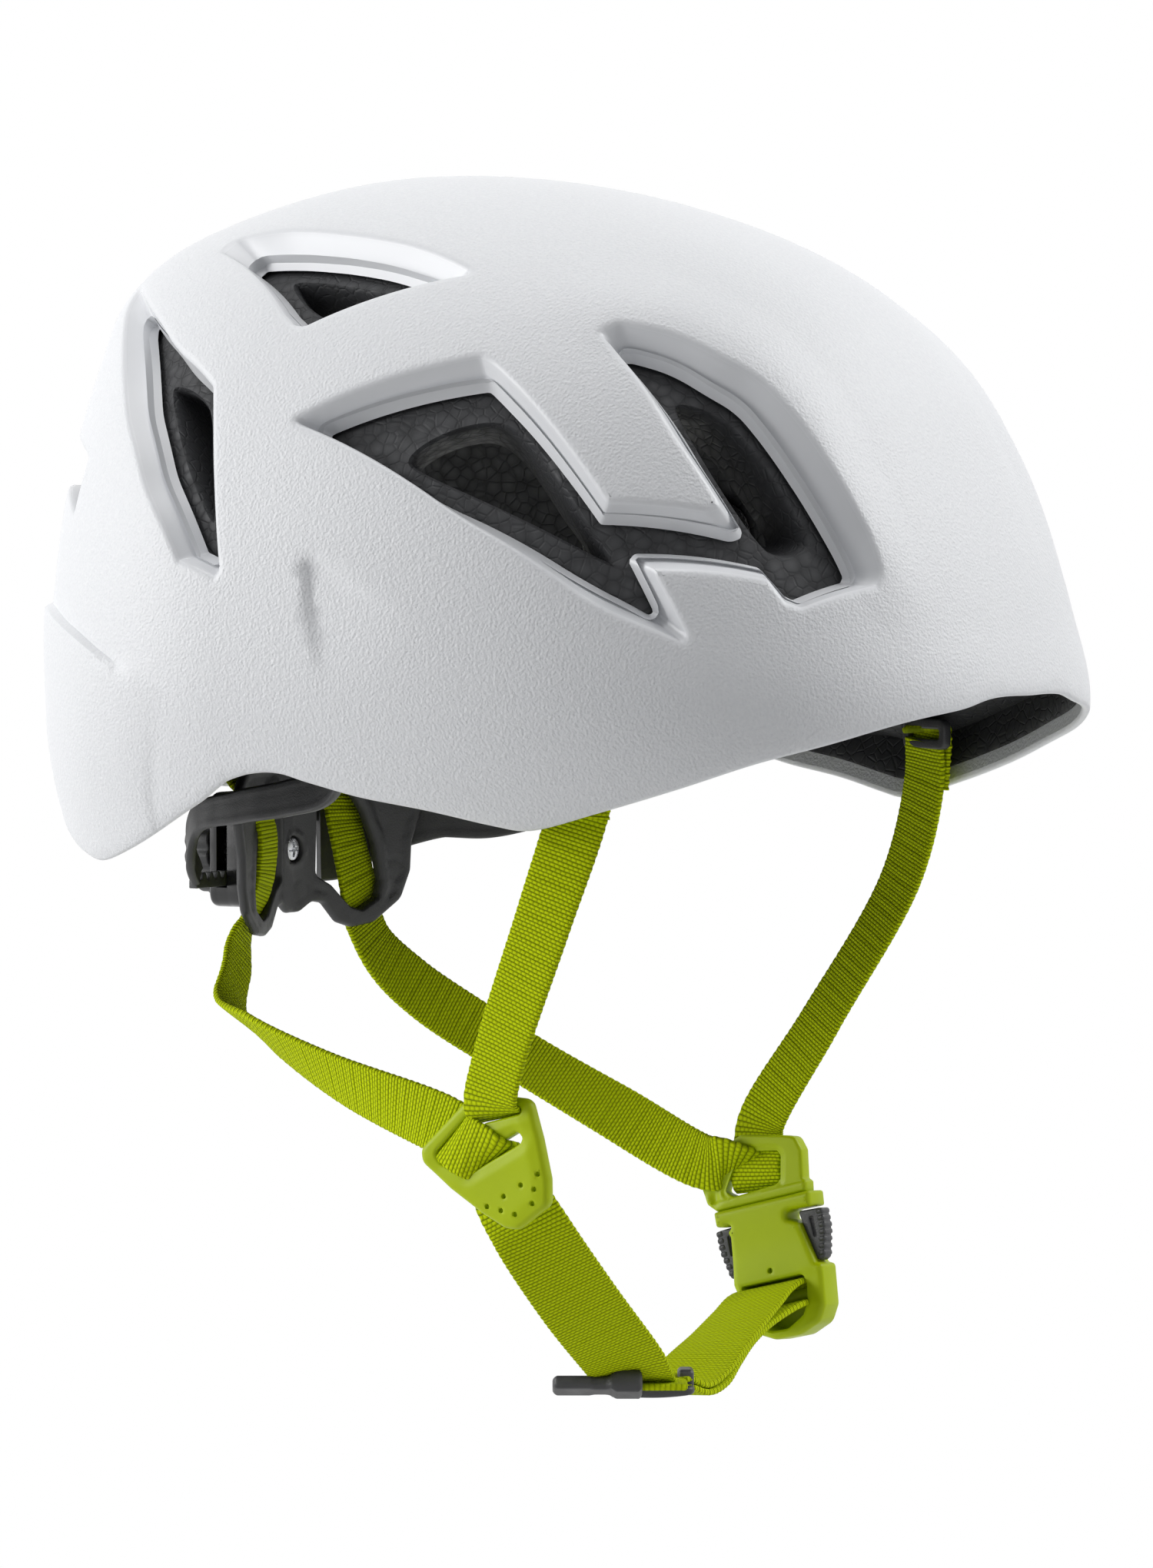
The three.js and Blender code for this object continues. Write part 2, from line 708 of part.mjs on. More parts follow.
function buildShell(clearance) {
  let shell = flatDisc(0, -skinWall - clearance, true);
  const cutters = [];
  vents.forEach((rows) => sides.forEach((side) => {
    const mouth = flatOutline(rows, 0, side);
    const throat = flatOutline(rows, 2, side);
    const collarTop = -skinWall / 2;
    const collar = flatLoft(
      growOutline(taperedSides(mouth, throat, collarTop), flangeWall + clearance),
      growOutline(throat, flangeWall + clearance),
      collarTop,
      -flangeDepth - clearance,
    );
    shell = shell.add(collar);
    cutters.push(flatLoft(
      taperedSides(mouth, throat, cutOverrun),
      taperedSides(mouth, throat, -flangeDepth - throatOverrun),
      cutOverrun,
      -flangeDepth - throatOverrun,
    ));
  }));
  if (clearance === 0) cutters.forEach((cutter) => { shell = shell.subtract(cutter); });
  return wrapSolid(shell);
}

function buildLiner() {
  const top = -skinWall - shellToLinerGap;
  let liner = flatDisc(top, top - linerWall, false);
  const clear = flangeWall + pocketGap;
  vents.forEach((rows) => sides.forEach((side) => {
    const mouth = flatOutline(rows, 0, side);
    const throat = flatOutline(rows, 2, side);
    const floor = -flangeDepth - shellToLinerGap;
    liner = liner.subtract(flatLoft(
      growOutline(taperedSides(mouth, throat, cutOverrun), clear),
      growOutline(taperedSides(mouth, throat, floor), clear),
      cutOverrun,
      floor,
    ));
  }));
  windows.forEach((rows) => sides.forEach((side) => {
    const outline = flatOutline(rows, 0, side);
    liner = liner.subtract(flatLoft(outline, outline, cutOverrun, top - linerWall - cutOverrun));
  }));
  // The shell with a clearance all round keeps the foam off its facets
  return solidFromGeometry(wrapSolid(liner)).subtract(solidFromGeometry(buildShell(linerClearance)));
}

// Pads: a crowned cushion on a patch of the liner's inner face
function buildPatchPad([fromBearing, toBearing, fromRise, toRise], side) {
  const seat = -linerInner - padGap;
  const cols = padColumnCount + 1;
  const rows = padRowCount + 1;
  const positions = [];
  const triangles = [];
  [0, 1].forEach((face) => {
    for (let r = 0; r < rows; r += 1) {
      for (let c = 0; c < cols; c += 1) {
        const u = c / padColumnCount;
        const v = r / padRowCount;
        const bearing = (fromBearing + (toBearing - fromBearing) * u) * halfTurnAngle * side;
        const rise = (fromRise + (toRise - fromRise) * v) * quarterTurnAngle;
        const crownAlong = 1 - Math.abs(2 * u - 1) ** padCrownPower;
        const crown = crownAlong * (1 - Math.abs(2 * v - 1) ** padCrownPower);
        const full = padThickness * (padEdgeShare + (1 - padEdgeShare) * crown);
        const [x, y] = flatPoint(bearing, rise);
        const p = wrapPoint(x, y, seat - face * full);
        positions.push(p.x, p.y, p.z);
      }
    }
  });
  const layer = rows * cols;
  const quad = (a, b, c, d) => triangles.push(a, b, c, a, c, d);
  for (let r = 0; r < padRowCount; r += 1) {
    for (let c = 0; c < padColumnCount; c += 1) {
      const a = r * cols + c;
      quad(a, a + cols, a + cols + 1, a + 1);
      quad(layer + a, layer + a + 1, layer + a + cols + 1, layer + a + cols);
    }
  }
  for (let c = 0; c < padColumnCount; c += 1) {
    const high = padRowCount * cols + c;
    quad(c, c + 1, layer + c + 1, layer + c);
    quad(high, layer + high, layer + high + 1, high + 1);
  }
  for (let r = 0; r < padRowCount; r += 1) {
    const left = r * cols;
    const right = left + padColumnCount;
    quad(left, layer + left, layer + left + cols, left + cols);
    quad(right, right + cols, layer + right + cols, layer + right);
  }
  const flipped = triangles.map((v, i) => triangles[i - (i % 3) + 2 - (i % 3)]);
  const turned = side > 0 ? triangles : flipped;
  return rawGeometry(positions, turned);
}

function rawGeometry(positions, triangles) {
  const geometry = new THREE.BufferGeometry();
  geometry.setAttribute('position', new THREE.Float32BufferAttribute(positions, 3));
  geometry.setIndex(triangles);
  return geometry;
}

function buildCrownPad() {
  const seat = -linerInner - padGap;
  const positions = [];
  const triangles = [];
  [0, 1].forEach((face) => {
    for (let ring = 0; ring <= crownPadRingCount; ring += 1) {
      const share = ring / crownPadRingCount;
      const crown = 1 - share ** padCrownPower;
      const full = padThickness * (padEdgeShare + (1 - padEdgeShare) * crown);
      for (let s = 0; s < (ring === 0 ? 1 : crownPadSectorCount); s += 1) {
        const angle = (s / crownPadSectorCount) * 2 * Math.PI;
        const x = -Math.sin(angle) * crownPadReach * share;
        const y = -Math.cos(angle) * crownPadReach * share;
        const p = wrapPoint(x, y, seat - face * full);
        positions.push(p.x, p.y, p.z);
      }
    }
  });
  const layer = 1 + crownPadRingCount * crownPadSectorCount;
  const at = (ring, s) => 1 + (ring - 1) * crownPadSectorCount + (s % crownPadSectorCount);
  const both = (a, b, c) => triangles.push(a, b, c, layer + a, layer + c, layer + b);
  for (let s = 0; s < crownPadSectorCount; s += 1) {
    both(0, at(1, s + 1), at(1, s));
    for (let ring = 1; ring < crownPadRingCount; ring += 1) {
      both(at(ring, s), at(ring, s + 1), at(ring + 1, s + 1));
      both(at(ring, s), at(ring + 1, s + 1), at(ring + 1, s));
    }
    const a = at(crownPadRingCount, s);
    const b = at(crownPadRingCount, s + 1);
    triangles.push(a, b, layer + b, a, layer + b, layer + a);
  }
  return rawGeometry(positions, triangles);
}

// Webbing and bands: a section carried along a route, turned by the width directions
// given at the same stations; its points are across and outward, anticlockwise
function sweepSection(stations, widthDirections, section, steps, untilLength = 0) {
  const route = new THREE.CatmullRomCurve3(
    stations.map((p) => new THREE.Vector3(...p)),
    false,
    'centripetal',
  );
  const widthCurve = new THREE.CatmullRomCurve3(
    widthDirections.map((p) => new THREE.Vector3(...p)),
    false,
    'catmullrom',
  );
  const stop = untilLength > 0 ? route.getUtoTmapping(0, untilLength) : 1;
  const count = section.length;
  const positions = [];
  const triangles = [];
  for (let i = 0; i <= steps; i += 1) {
    const t = (stop * i) / steps;
    const centre = route.getPoint(t);
    const along = route.getTangent(t).normalize();
    const across = widthCurve.getPoint(t);
    across.addScaledVector(along, -across.dot(along)).normalize();
    const outward = along.clone().cross(across).normalize();
    section.forEach(([w, n]) => {
      const p = centre.clone().addScaledVector(across, w).addScaledVector(outward, n);
      positions.push(p.x, p.y, p.z);
    });
  }
  for (let i = 0; i < steps; i += 1) {
    for (let k = 0; k < count; k += 1) {
      const a = i * count + k;
      const b = i * count + ((k + 1) % count);
      triangles.push(a, b, b + count, a, b + count, a + count);
    }
  }
  const end = steps * count;
  const outline = section.map(([w, n]) => new THREE.Vector2(w, n));
  THREE.ShapeUtils.triangulateShape(outline, []).forEach(([a, b, c]) => {
    triangles.push(a, c, b, end + a, end + b, end + c);
  });
  return rawGeometry(positions, triangles);
}

function sweepBand(stations, widthDirections, width, thickness, steps) {
  const w = width / 2;
  const n = thickness / 2;
  return sweepSection(stations, widthDirections, [[-w, -n], [w, -n], [w, n], [-w, n]], steps);
}

const mirrorX = ([x, y, z]) => [-x, y, z];

// Shared shapes
function roundedPlate(points, holes, thickness, round) {
  const shape = new THREE.Shape(points.map(([x, y]) => new THREE.Vector2(x, y)));
  holes.forEach((hole) => {
    shape.holes.push(new THREE.Path(hole.map(([x, y]) => new THREE.Vector2(x, y))));
  });
  const geometry = new THREE.ExtrudeGeometry(shape, {
    depth: thickness - 2 * round,
    bevelEnabled: round > 0,
    bevelThickness: round,
    bevelSize: round,
    bevelOffset: -round,
    bevelSegments: bevelStepCount,
  });
  return geometry.translate(0, 0, round - thickness / 2);
}

function boxSolid(from, to) {
  const size = to.map((value, i) => value - from[i]);
  const geometry = new THREE.BoxGeometry(...size);
  geometry.translate(...from.map((value, i) => value + size[i] / 2));
  return solidFromGeometry(geometry);
}

function rodAlongY(radius, fromY, toY, segments) {
  const geometry = new THREE.CylinderGeometry(radius, radius, toY - fromY, segments);
  return solidFromGeometry(geometry.translate(0, (fromY + toY) / 2, 0));
}

function rodAlongX(radius, fromX, toX, segments) {
  const geometry = new THREE.CylinderGeometry(radius, radius, toX - fromX, segments);
  return solidFromGeometry(geometry.rotateZ(-Math.PI / 2).translate((fromX + toX) / 2, 0, 0));
}

// Strap anchor: a plate over the strap's top end, with a leg down each side of the strap
function buildAnchor(stations, widths, inwardSign) {
  const outer = anchorWidth / 2;
  const inner = outer - anchorLeg;
  const foot = -webbingThickness / 2;
  const low = webbingThickness / 2 + adjusterGap;
  const high = low + anchorThickness;
  const section = [
    [-outer, foot], [-inner, foot], [-inner, low], [inner, low], [inner, foot], [outer, foot],
    [outer, high], [-outer, high],
  ];
  const turned = inwardSign > 0 ? section : section.map(([w, n]) => [w, -n]).reverse();
  return sweepSection(stations, widths, turned, anchorStepCount, anchorHeight);
}

// Strap divider: local X runs rearward along the cheek, local Y is up, Z faces outward
function sharesToPlate(shares) {
  return shares.map(([across, down]) => [across * dividerWidth, -down * dividerHeight]);
}

function buildDivider() {
  const plate = solidFromGeometry(roundedPlate(
    sharesToPlate(dividerOutlineShares).reverse(),
    [sharesToPlate(dividerWindowShares)],
    dividerThickness,
    dividerRound,
  ));
  let body = plate;
  sharesToPlate(dividerDimpleShares).forEach(([x, y]) => {
    const radius = dividerDimpleRadius;
    const pin = new THREE.CylinderGeometry(radius, radius, dividerThickness, pinSegmentCount);
    pin.rotateX(Math.PI / 2).translate(x, y, dividerThickness - dividerDimpleDepth);
    body = body.subtract(solidFromGeometry(pin));
  });
  const geometry = geometryOf(body);
  // Local X to +Y, local Y to +Z, local Z to -X
  const basis = new THREE.Matrix4().makeBasis(
    new THREE.Vector3(0, 1, 0),
    new THREE.Vector3(0, 0, 1),
    new THREE.Vector3(1, 0, 0),
  );
  geometry.applyMatrix4(basis);
  return geometry.translate(...dividerSeat);
}

// Buckle pieces are drawn with Y across (front is -Y), Z up the axis and X through
function toBuckle(geometry) {
  return geometry
    .rotateX(-buckleLeanAngle * degree)
    .rotateY(buckleToeAngle * degree)
    .translate(...buckleSeam);
}

// Plate drawn in the Y-Z plane and centred on X
function uprightPlate(points, holes, thickness, round) {
  const geometry = roundedPlate(points, holes, thickness, round);
  const basis = new THREE.Matrix4().makeBasis(
    new THREE.Vector3(0, 1, 0),
    new THREE.Vector3(0, 0, 1),
    new THREE.Vector3(1, 0, 0),
  );
  return solidFromGeometry(geometry.applyMatrix4(basis));
}

function buildBuckleFrame() {
  const outline = [
    [-frameFootHalf, 0], [frameFootHalf, 0], [frameWingY, frameWingZ], [frameTopRearY, frameHeight],
    [frameTopFrontY, frameHeight],
  ];
  const window = [
    [frameWindowFront, frameWindowFrontFoot], [frameWindowRear, frameWindowRearFoot],
    [frameWindowRear, frameWindowTop], [frameWindowFront, frameWindowTop],
  ];
  let frame = uprightPlate(outline, [window], frameThickness, frameRound);
  const tongue = [
    [-tongueHalf, frameRound * 2], [-tongueHalf, -tongueLength + tongueTipHalf],
    [-tongueTipHalf, -tongueLength], [tongueTipHalf, -tongueLength],
    [tongueHalf, -tongueLength + tongueTipHalf], [tongueHalf, frameRound * 2],
  ];
  frame = frame.add(uprightPlate(tongue, [], tongueThickness, 0));
  sides.forEach((side) => {
    const inner = side * (tongueHalf - tongueNotchDepth);
    const outer = side * (tongueHalf + cutOverrun);
    frame = frame.subtract(boxSolid(
      [-frameThickness, Math.min(inner, outer), tongueNotchZ - tongueNotchHeight / 2],
      [frameThickness, Math.max(inner, outer), tongueNotchZ + tongueNotchHeight / 2],
    ));
  });
  return toBuckle(geometryOf(frame));
}

function buildBuckleHousing() {
  const top = -buckleSeamGap;
  const foot = top - housingHeight;
  const corner = housingHalf * housingCornerShare;
  const outline = [
    [-housingHalf, top], [-housingHalf, foot + corner], [-housingHalf + corner, foot],
    [housingHalf - corner, foot], [housingHalf, foot + corner], [housingHalf, top],
  ];
  let body = uprightPlate(outline, [], housingThickness, housingRound);
  const cavityHalf = housingThickness / 2 - housingWall;
  // Socket for the tongue and the latches
  body = body.subtract(boxSolid(
    [-cavityHalf, -tongueHalf - buckleClearance - buttonReach, -housingFaceDrop + housingWall],
    [cavityHalf, tongueHalf + buckleClearance + buttonReach, top + cutOverrun],
  ));
  // Side openings for the release buttons
  sides.forEach((side) => {
    const edge = side * (housingHalf + cutOverrun);
    const inner = side * tongueHalf;
    body = body.subtract(boxSolid(
      [-cavityHalf, Math.min(edge, inner), housingSideTop - housingSideCut],
      [cavityHalf, Math.max(edge, inner), housingSideTop],
    ));
  });
  // Open foot, with a bar that the doubled chin strap runs round
  body = body.subtract(boxSolid(
    [-housingThickness, -housingHalf + 2 * housingWall, foot - cutOverrun],
    [cavityHalf, housingHalf - 2 * housingWall, top - housingFaceDrop],
  ));
  const barHalf = housingHalf - housingWall;
  const bar = rodAlongY(housingBarRadius, -barHalf, barHalf, smallSegmentCount);
  body = body.add(bar.translate([0, 0, housingBarZ]));
  const pivotTo = -cavityHalf + housingWall / 2;
  const pivot = rodAlongX(housingPivotRadius, -housingThickness, pivotTo, pinSegmentCount);
  body = body.subtract(pivot.translate([0, -frameWindowFront, housingPivotZ]));
  return toBuckle(geometryOf(body));
}

function buildButton(side) {
  const outer = housingHalf + buttonProud;
  const inner = housingHalf - buttonReach;
  const z0 = housingSideTop - buckleClearance;
  const z1 = z0 - buttonLength;
  const points = [[inner, z0 - buttonHookHeight], [inner + buttonWidth, z0 - buttonHookHeight / 2]];
  points.push([outer - buttonRibDepth, z0 - buttonRibPitch / 2]);
  for (let k = 0; k < buttonRibCount; k += 1) {
    const top = z0 - buttonRibPitch * (k + 1 / 2);
    points.push([outer, top - buttonRibPitch / 4], [outer, top - buttonRibPitch * 3 / 4]);
    points.push([outer - buttonRibDepth, top - buttonRibPitch]);
  }
  points.push([inner + buttonWidth, z1]);
  points.push([inner, z1 + buttonHookHeight]);
  const pressed = points.map(([y, z]) => [side * y, z]);
  let body = uprightPlate(side > 0 ? pressed.reverse() : pressed, [], buttonThickness, 0);
  const hookInner = side * (tongueHalf - buttonHookDepth);
  const hookOuter = side * (inner + buttonWidth / 2);
  body = body.add(boxSolid(
    [-buttonThickness / 2, Math.min(hookInner, hookOuter), tongueNotchZ - buttonHookHeight / 2],
    [buttonThickness / 2, Math.max(hookInner, hookOuter), tongueNotchZ + buttonHookHeight / 2],
  ));
  return toBuckle(geometryOf(body));
}

// Bowed leaf between the two buttons, below the tongue's tip
function buildButtonSpring() {
  const half = housingHalf - buttonReach - buckleClearance;
  const level = -tongueLength - springWall - buckleClearance - springBow;
  const outer = [];
  const innerLine = [];
  for (let k = 0; k <= springStepCount; k += 1) {
    const share = (2 * k) / springStepCount - 1;
    const bow = springBow * (1 - share * share);
    outer.push([half * share, level + bow]);
    innerLine.push([half * share, level + bow - springWall]);
  }
  const outline = [...outer, ...innerLine.reverse()].reverse();
  return toBuckle(geometryOf(uprightPlate(outline, [], springWidth, 0)));
}

// Slider: local X across the chin strap, local Y along it, local Z up
function toSlider(geometry, centre) {
  return geometry.rotateZ(sliderTurnAngle * degree).translate(...centre);
}

function buildSlider() {
  const halfX = sliderLength / 2;
  const halfY = sliderDepth / 2;
  const halfZ = sliderThickness / 2;
  let body = boxSolid([-halfX, -halfY, -halfZ], [halfX, halfY, halfZ]);
  const slotHalf = halfX - sliderBarWidth / 2;
  sides.forEach((side) => {
    const near = side * (sliderBarWidth / 2);
    const far = side * (sliderBarWidth / 2 + sliderSlotDepth);
    body = body.subtract(boxSolid(
      [-slotHalf, Math.min(near, far), -halfZ - cutOverrun],
      [slotHalf, Math.max(near, far), halfZ + cutOverrun],
    ));
    const postOuter = side * halfX;
    const postInner = side * slotHalf;
    body = body.add(boxSolid(
      [Math.min(postOuter, postInner), -sliderBarWidth, 0],
      [Math.max(postOuter, postInner), sliderBarWidth, sliderPostHeight],
    ));
  });
  return toSlider(geometryOf(body), sliderCentre);
}

function buildTab() {
  const halfX = tabLength / 2;
  const halfY = tabWidth / 2;
  const waist = halfY * tabWaistShare;
  const shoulder = halfX - sliderBarWidth;
  const outline = [
    [-halfX, -waist], [-shoulder, -halfY], [shoulder, -halfY], [halfX, -waist],
    [halfX, waist], [shoulder, halfY], [-shoulder, halfY], [-halfX, waist],
  ];
  const plate = roundedPlate(outline, [], tabThickness, dividerRound / 2);
  return toSlider(plate.rotateX(tabLeanAngle * degree), bySlider(sliderMeetShares.tab));
}

// Nape cradle: a bowed sheet cut to its outline and two strap windows
function bowedSheet() {
  const positions = [];
  const triangles = [];
  const high = cradleTopZ + cutOverrun;
  const low = cradleTopZ - cradleHeight - cutOverrun;
  const half = cradleHalfSpan + cutOverrun;
  for (let i = 0; i <= cradleColumnCount; i += 1) {
    const x = half * ((2 * i) / cradleColumnCount - 1);
    const y = cradleY - cradleBow * Math.abs(x / cradleHalfSpan) ** cradleBowPower;
    positions.push(x, y, low, x, y + cradleWall, low, x, y + cradleWall, high, x, y, high);
  }
  for (let i = 0; i < cradleColumnCount; i += 1) {
    for (let k = 0; k < 4; k += 1) {
      const a = i * 4 + k;
      const b = i * 4 + ((k + 1) % 4);
      triangles.push(a, b, b + 4, a, b + 4, a + 4);
    }
  }
  const end = cradleColumnCount * 4;
  triangles.push(0, 2, 1, 0, 3, 2, end, end + 1, end + 2, end, end + 2, end + 3);
  return solidOf(positions, triangles);
}

// Extrudes an X-Z outline through the sheet's whole depth along Y
function throughY(points) {
  const shape = new THREE.Shape(points.map(([x, z]) => new THREE.Vector2(x, z)));
  const depth = cradleBow + 2 * (cradleWall + cutOverrun);
  const geometry = new THREE.ExtrudeGeometry(shape, { depth, bevelEnabled: false });
  geometry.rotateX(Math.PI / 2).translate(0, cradleY + cradleWall + cutOverrun, 0);
  return solidFromGeometry(geometry);
}

function buildCradle() {
  const place = ([across, down], side) => (
    [side * across * cradleHalfSpan, cradleTopZ - down * cradleHeight]
  );
  const right = cradleOutlineShares.map((row) => place(row, 1));
  const left = cradleOutlineShares.slice(0, -1).reverse().map((row) => place(row, -1));
  let body = bowedSheet().intersect(throughY([...right, ...left]));
  sides.forEach((side) => {
    body = body.subtract(throughY(cradleWindowShares.map((row) => place(row, side))));
  });
  const front = cradleY - cutOverrun;
  const back = cradleY + cradleWall + cutOverrun;
  const hole = rodAlongY(screwRadius + boreGap, front, back, smallSegmentCount);
  body = body.subtract(hole.translate([0, 0, dialZ]));
  const recessTo = cradleY + screwHeadRecess;
  const recess = rodAlongY(screwHeadRadius + boreGap, front, recessTo, smallSegmentCount);
  return geometryOf(body.subtract(recess.translate([0, 0, dialZ])));
}

// Adjuster
function toothedDisc(radius, teeth, height, fromY, toY) {
  const points = [];
  const pitch = (2 * Math.PI) / teeth;
  for (let k = 0; k < teeth; k += 1) {
    const angle = k * pitch;
    const low = radius - height / 2;
    const high = radius + height / 2;
    points.push([low, angle - pitch * toothRootShare], [high, angle - pitch * toothTipShare]);
    points.push([high, angle + pitch * toothTipShare], [low, angle + pitch * toothRootShare]);
  }
  const corners = points.map(([r, a]) => new THREE.Vector2(r * Math.cos(a), r * Math.sin(a)));
  const shape = new THREE.Shape(corners);
  const geometry = new THREE.ExtrudeGeometry(shape, { depth: toY - fromY, bevelEnabled: false });
  return solidFromGeometry(geometry.rotateX(Math.PI / 2).translate(0, toY, dialZ));
}

function buildHousing() {
  const outline = [];
  const w = housingHalfWidth;
  const h = housingHalfHeight;
  [[1, 1], [-1, 1], [-1, -1], [1, -1]].forEach(([sx, sz]) => {
    const cut = [[sx * w, sz * (h - housingCorner)], [sx * (w - housingCorner), sz * h]];
    outline.push(...(sx * sz > 0 ? cut : cut.reverse()));
  });
  const shape = new THREE.Shape(outline.map(([x, z]) => new THREE.Vector2(x, z)));
  const depth = housingBack - housingFront;
  const block = new THREE.ExtrudeGeometry(shape, { depth, bevelEnabled: false });
  let body = solidFromGeometry(block.rotateX(Math.PI / 2).translate(0, housingBack, dialZ));
  // Rack channels, pinion well and pawl well
  const rackFrom = rackY - rackThickness / 2 - rackGap;
  const rackTo = rackY + rackThickness / 2 + rackGap;
  const channel = rackPitchRadius + pinionModule * toothHeightShare / 2 + rackBack + 2 * rackGap;
  body = body.subtract(boxSolid(
    [-w - cutOverrun, rackFrom, dialZ - channel],
    [w + cutOverrun, rackTo, dialZ + channel],
  ));
  const wellRadius = pawlRadius + pawlWall + pawlToothDepth;
  const wellBack = housingBack + cutOverrun;
  const well = rodAlongY(wellRadius + boreGap, rackTo - cutOverrun, wellBack, roundSegmentCount);
  body = body.subtract(well.translate([0, 0, dialZ]));
  const bore = rodAlongY(screwRadius + boreGap, housingFront - cutOverrun, rackTo, smallSegmentCount);
  body = body.subtract(bore.translate([0, 0, dialZ]));
  return geometryOf(body);
}

function buildPinion() {
  const from = rackY - pinionLength / 2;
  const to = rackY + pinionLength / 2;
  let body = toothedDisc(rackPitchRadius, pinionToothCount, pinionModule * toothHeightShare, from, to);
  const hub = rodAlongY(hubRadius, to - adjusterGap, housingBack + adjusterGap, smallSegmentCount);
  body = body.add(hub.translate([0, 0, dialZ]));
  const back = housingBack + cutOverrun;
  const bore = rodAlongY(screwRadius + boreGap, from - cutOverrun, back, smallSegmentCount);
  return geometryOf(body.subtract(bore.translate([0, 0, dialZ])));
}

function buildPawl() {
  const from = rackY + rackThickness / 2 + rackGap + adjusterGap;
  const ring = toothedDisc(pawlRadius, pawlToothCount, pawlToothDepth * 2, from, from + pawlThickness);
  const innerRadius = pawlRadius - pawlWall - pawlToothDepth;
  const back = from + pawlThickness + cutOverrun;
  const inner = rodAlongY(innerRadius, from - cutOverrun, back, roundSegmentCount);
  return geometryOf(ring.subtract(inner.translate([0, 0, dialZ])));
}

function buildKnob() {
  const from = housingBack + 2 * adjusterGap;
  const shape = new THREE.Shape();
  const steps = knobLobeCount * lobeStepCount;
  for (let k = 0; k < steps; k += 1) {
    const angle = (k / steps) * 2 * Math.PI;
    const radius = knobRadius - knobLobeDepth * (1 + Math.cos(angle * knobLobeCount)) / 2;
    const x = radius * Math.cos(angle);
    const y = radius * Math.sin(angle);
    if (k === 0) shape.moveTo(x, y);
    else shape.lineTo(x, y);
  }
  const bevel = knobRadius * (1 - knobBevelShare);
  const geometry = new THREE.ExtrudeGeometry(shape, {
    depth: knobLength - bevel,
    bevelEnabled: true,
    bevelThickness: bevel,
    bevelSize: bevel,
    bevelOffset: -bevel,
    bevelSegments: bevelStepCount,
  });
  geometry.rotateX(-Math.PI / 2).translate(0, from, dialZ);
  let body = solidFromGeometry(geometry);
  body = body.subtract(boxSolid(
    [-knobRadius, from - bevel - cutOverrun, dialZ - knobRadius],
    [knobRadius, from, dialZ + knobRadius],
  ));
  const hubTo = from + knobLength / 2;
  const hub = rodAlongY(hubRadius + boreGap, from - cutOverrun, hubTo, smallSegmentCount);
  return geometryOf(body.subtract(hub.translate([0, 0, dialZ])));
}

function buildScrew() {
  const headFrom = cradleY + screwHeadRecess - screwHeadHeight;
  const end = rackY - pinionLength / 2 - adjusterGap;
  let body = rodAlongY(screwRadius, headFrom + screwHeadHeight / 2, end, smallSegmentCount);
  body = body.add(rodAlongY(screwHeadRadius, headFrom, headFrom + screwHeadHeight, smallSegmentCount));
  const reach = screwHeadRadius * 2 / 3;
  body = body.subtract(boxSolid(
    [-reach, headFrom - cutOverrun, -screwSlotWidth / 2],
    [reach, headFrom + screwSlotDepth, screwSlotWidth / 2],
  ));
  body = body.subtract(boxSolid(
    [-screwSlotWidth / 2, headFrom - cutOverrun, -reach],
    [screwSlotWidth / 2, headFrom + screwSlotDepth, reach],
  ));
  return geometryOf(body.translate([0, 0, dialZ]));
}

// The point where the temple stud meets the liner's inner face, on the left
function studPoint() {
  return new THREE.Vector3(...underSkin(studShares, linerInner));
}

// Arm: a flexible band from the temple stud to the outer end of its rack
function buildArm(side) {
  const stud = studPoint();
  const armX = stud.x - studStandoff - armWall / 2;
  const rackZ = dialZ + side * (rackPitchRadius + pinionModule + rackBack / 2);
  const stations = [
    [rackOuter + bandGap, rackY, rackZ],
    byCradle(armBendShares),
    underSkin(armBackShares, linerInner + armBackStandoff),
    underSkin(armSideShares, linerInner + armSideStandoff),
    [armX, ...hang(armTempleShares).slice(1)],
    [armX, stud.y, stud.z],
  ];
  let body = solidFromGeometry(sweepBand(stations, armWidthShares, armHeight, armWall, armStepCount));
  const eye = rodAlongX(armEyeRadius, armX - armWall / 2, armX + armWall / 2, roundSegmentCount);
  body = body.add(eye.translate([0, stud.y, stud.z]));
  const hole = rodAlongX(studShankRadius + studFit, armX - armWall, armX + armWall, smallSegmentCount);
  body = body.subtract(hole.translate([0, stud.y, stud.z]));
  if (side < 0) body = body.mirror([1, 0, 0]);
  return geometryOf(body);
}

// Rack with its teeth towards the pinion: the left one runs above it, the right one below
function buildRack(side) {
  const tipZ = dialZ + side * (rackPitchRadius - pinionModule * toothHeightShare / 2 + rackGap);
  const rootZ = dialZ + side * (rackPitchRadius + pinionModule * toothHeightShare / 2 + rackGap);
  const backZ = rootZ + side * rackBack;
  const pitch = Math.PI * pinionModule;
  const points = [];
  const start = -rackInner;
  const stop = rackOuter;
  points.push([stop, backZ], [start, backZ]);
  const phase = pitch / 2;
  for (let x = Math.ceil((start + pitch / 2) / pitch) * pitch; x < stop - pitch; x += pitch) {
    const middle = x + phase;
    if (middle < housingHalfWidth + rackInner) {
      points.push([middle - pitch * toothRootShare, rootZ], [middle - pitch * toothTipShare, tipZ]);
      points.push([middle + pitch * toothTipShare, tipZ], [middle + pitch * toothRootShare, rootZ]);
    }
  }
  points.push([stop, rootZ]);
  const shape = new THREE.Shape(points.map(([x, z]) => new THREE.Vector2(x, z)));
  const geometry = new THREE.ExtrudeGeometry(shape, { depth: rackThickness, bevelEnabled: false });
  geometry.rotateX(Math.PI / 2).translate(0, rackY + rackThickness / 2, 0);
  let body = solidFromGeometry(geometry);
  if (side < 0) body = body.mirror([1, 0, 0]);
  return geometryOf(body);
}

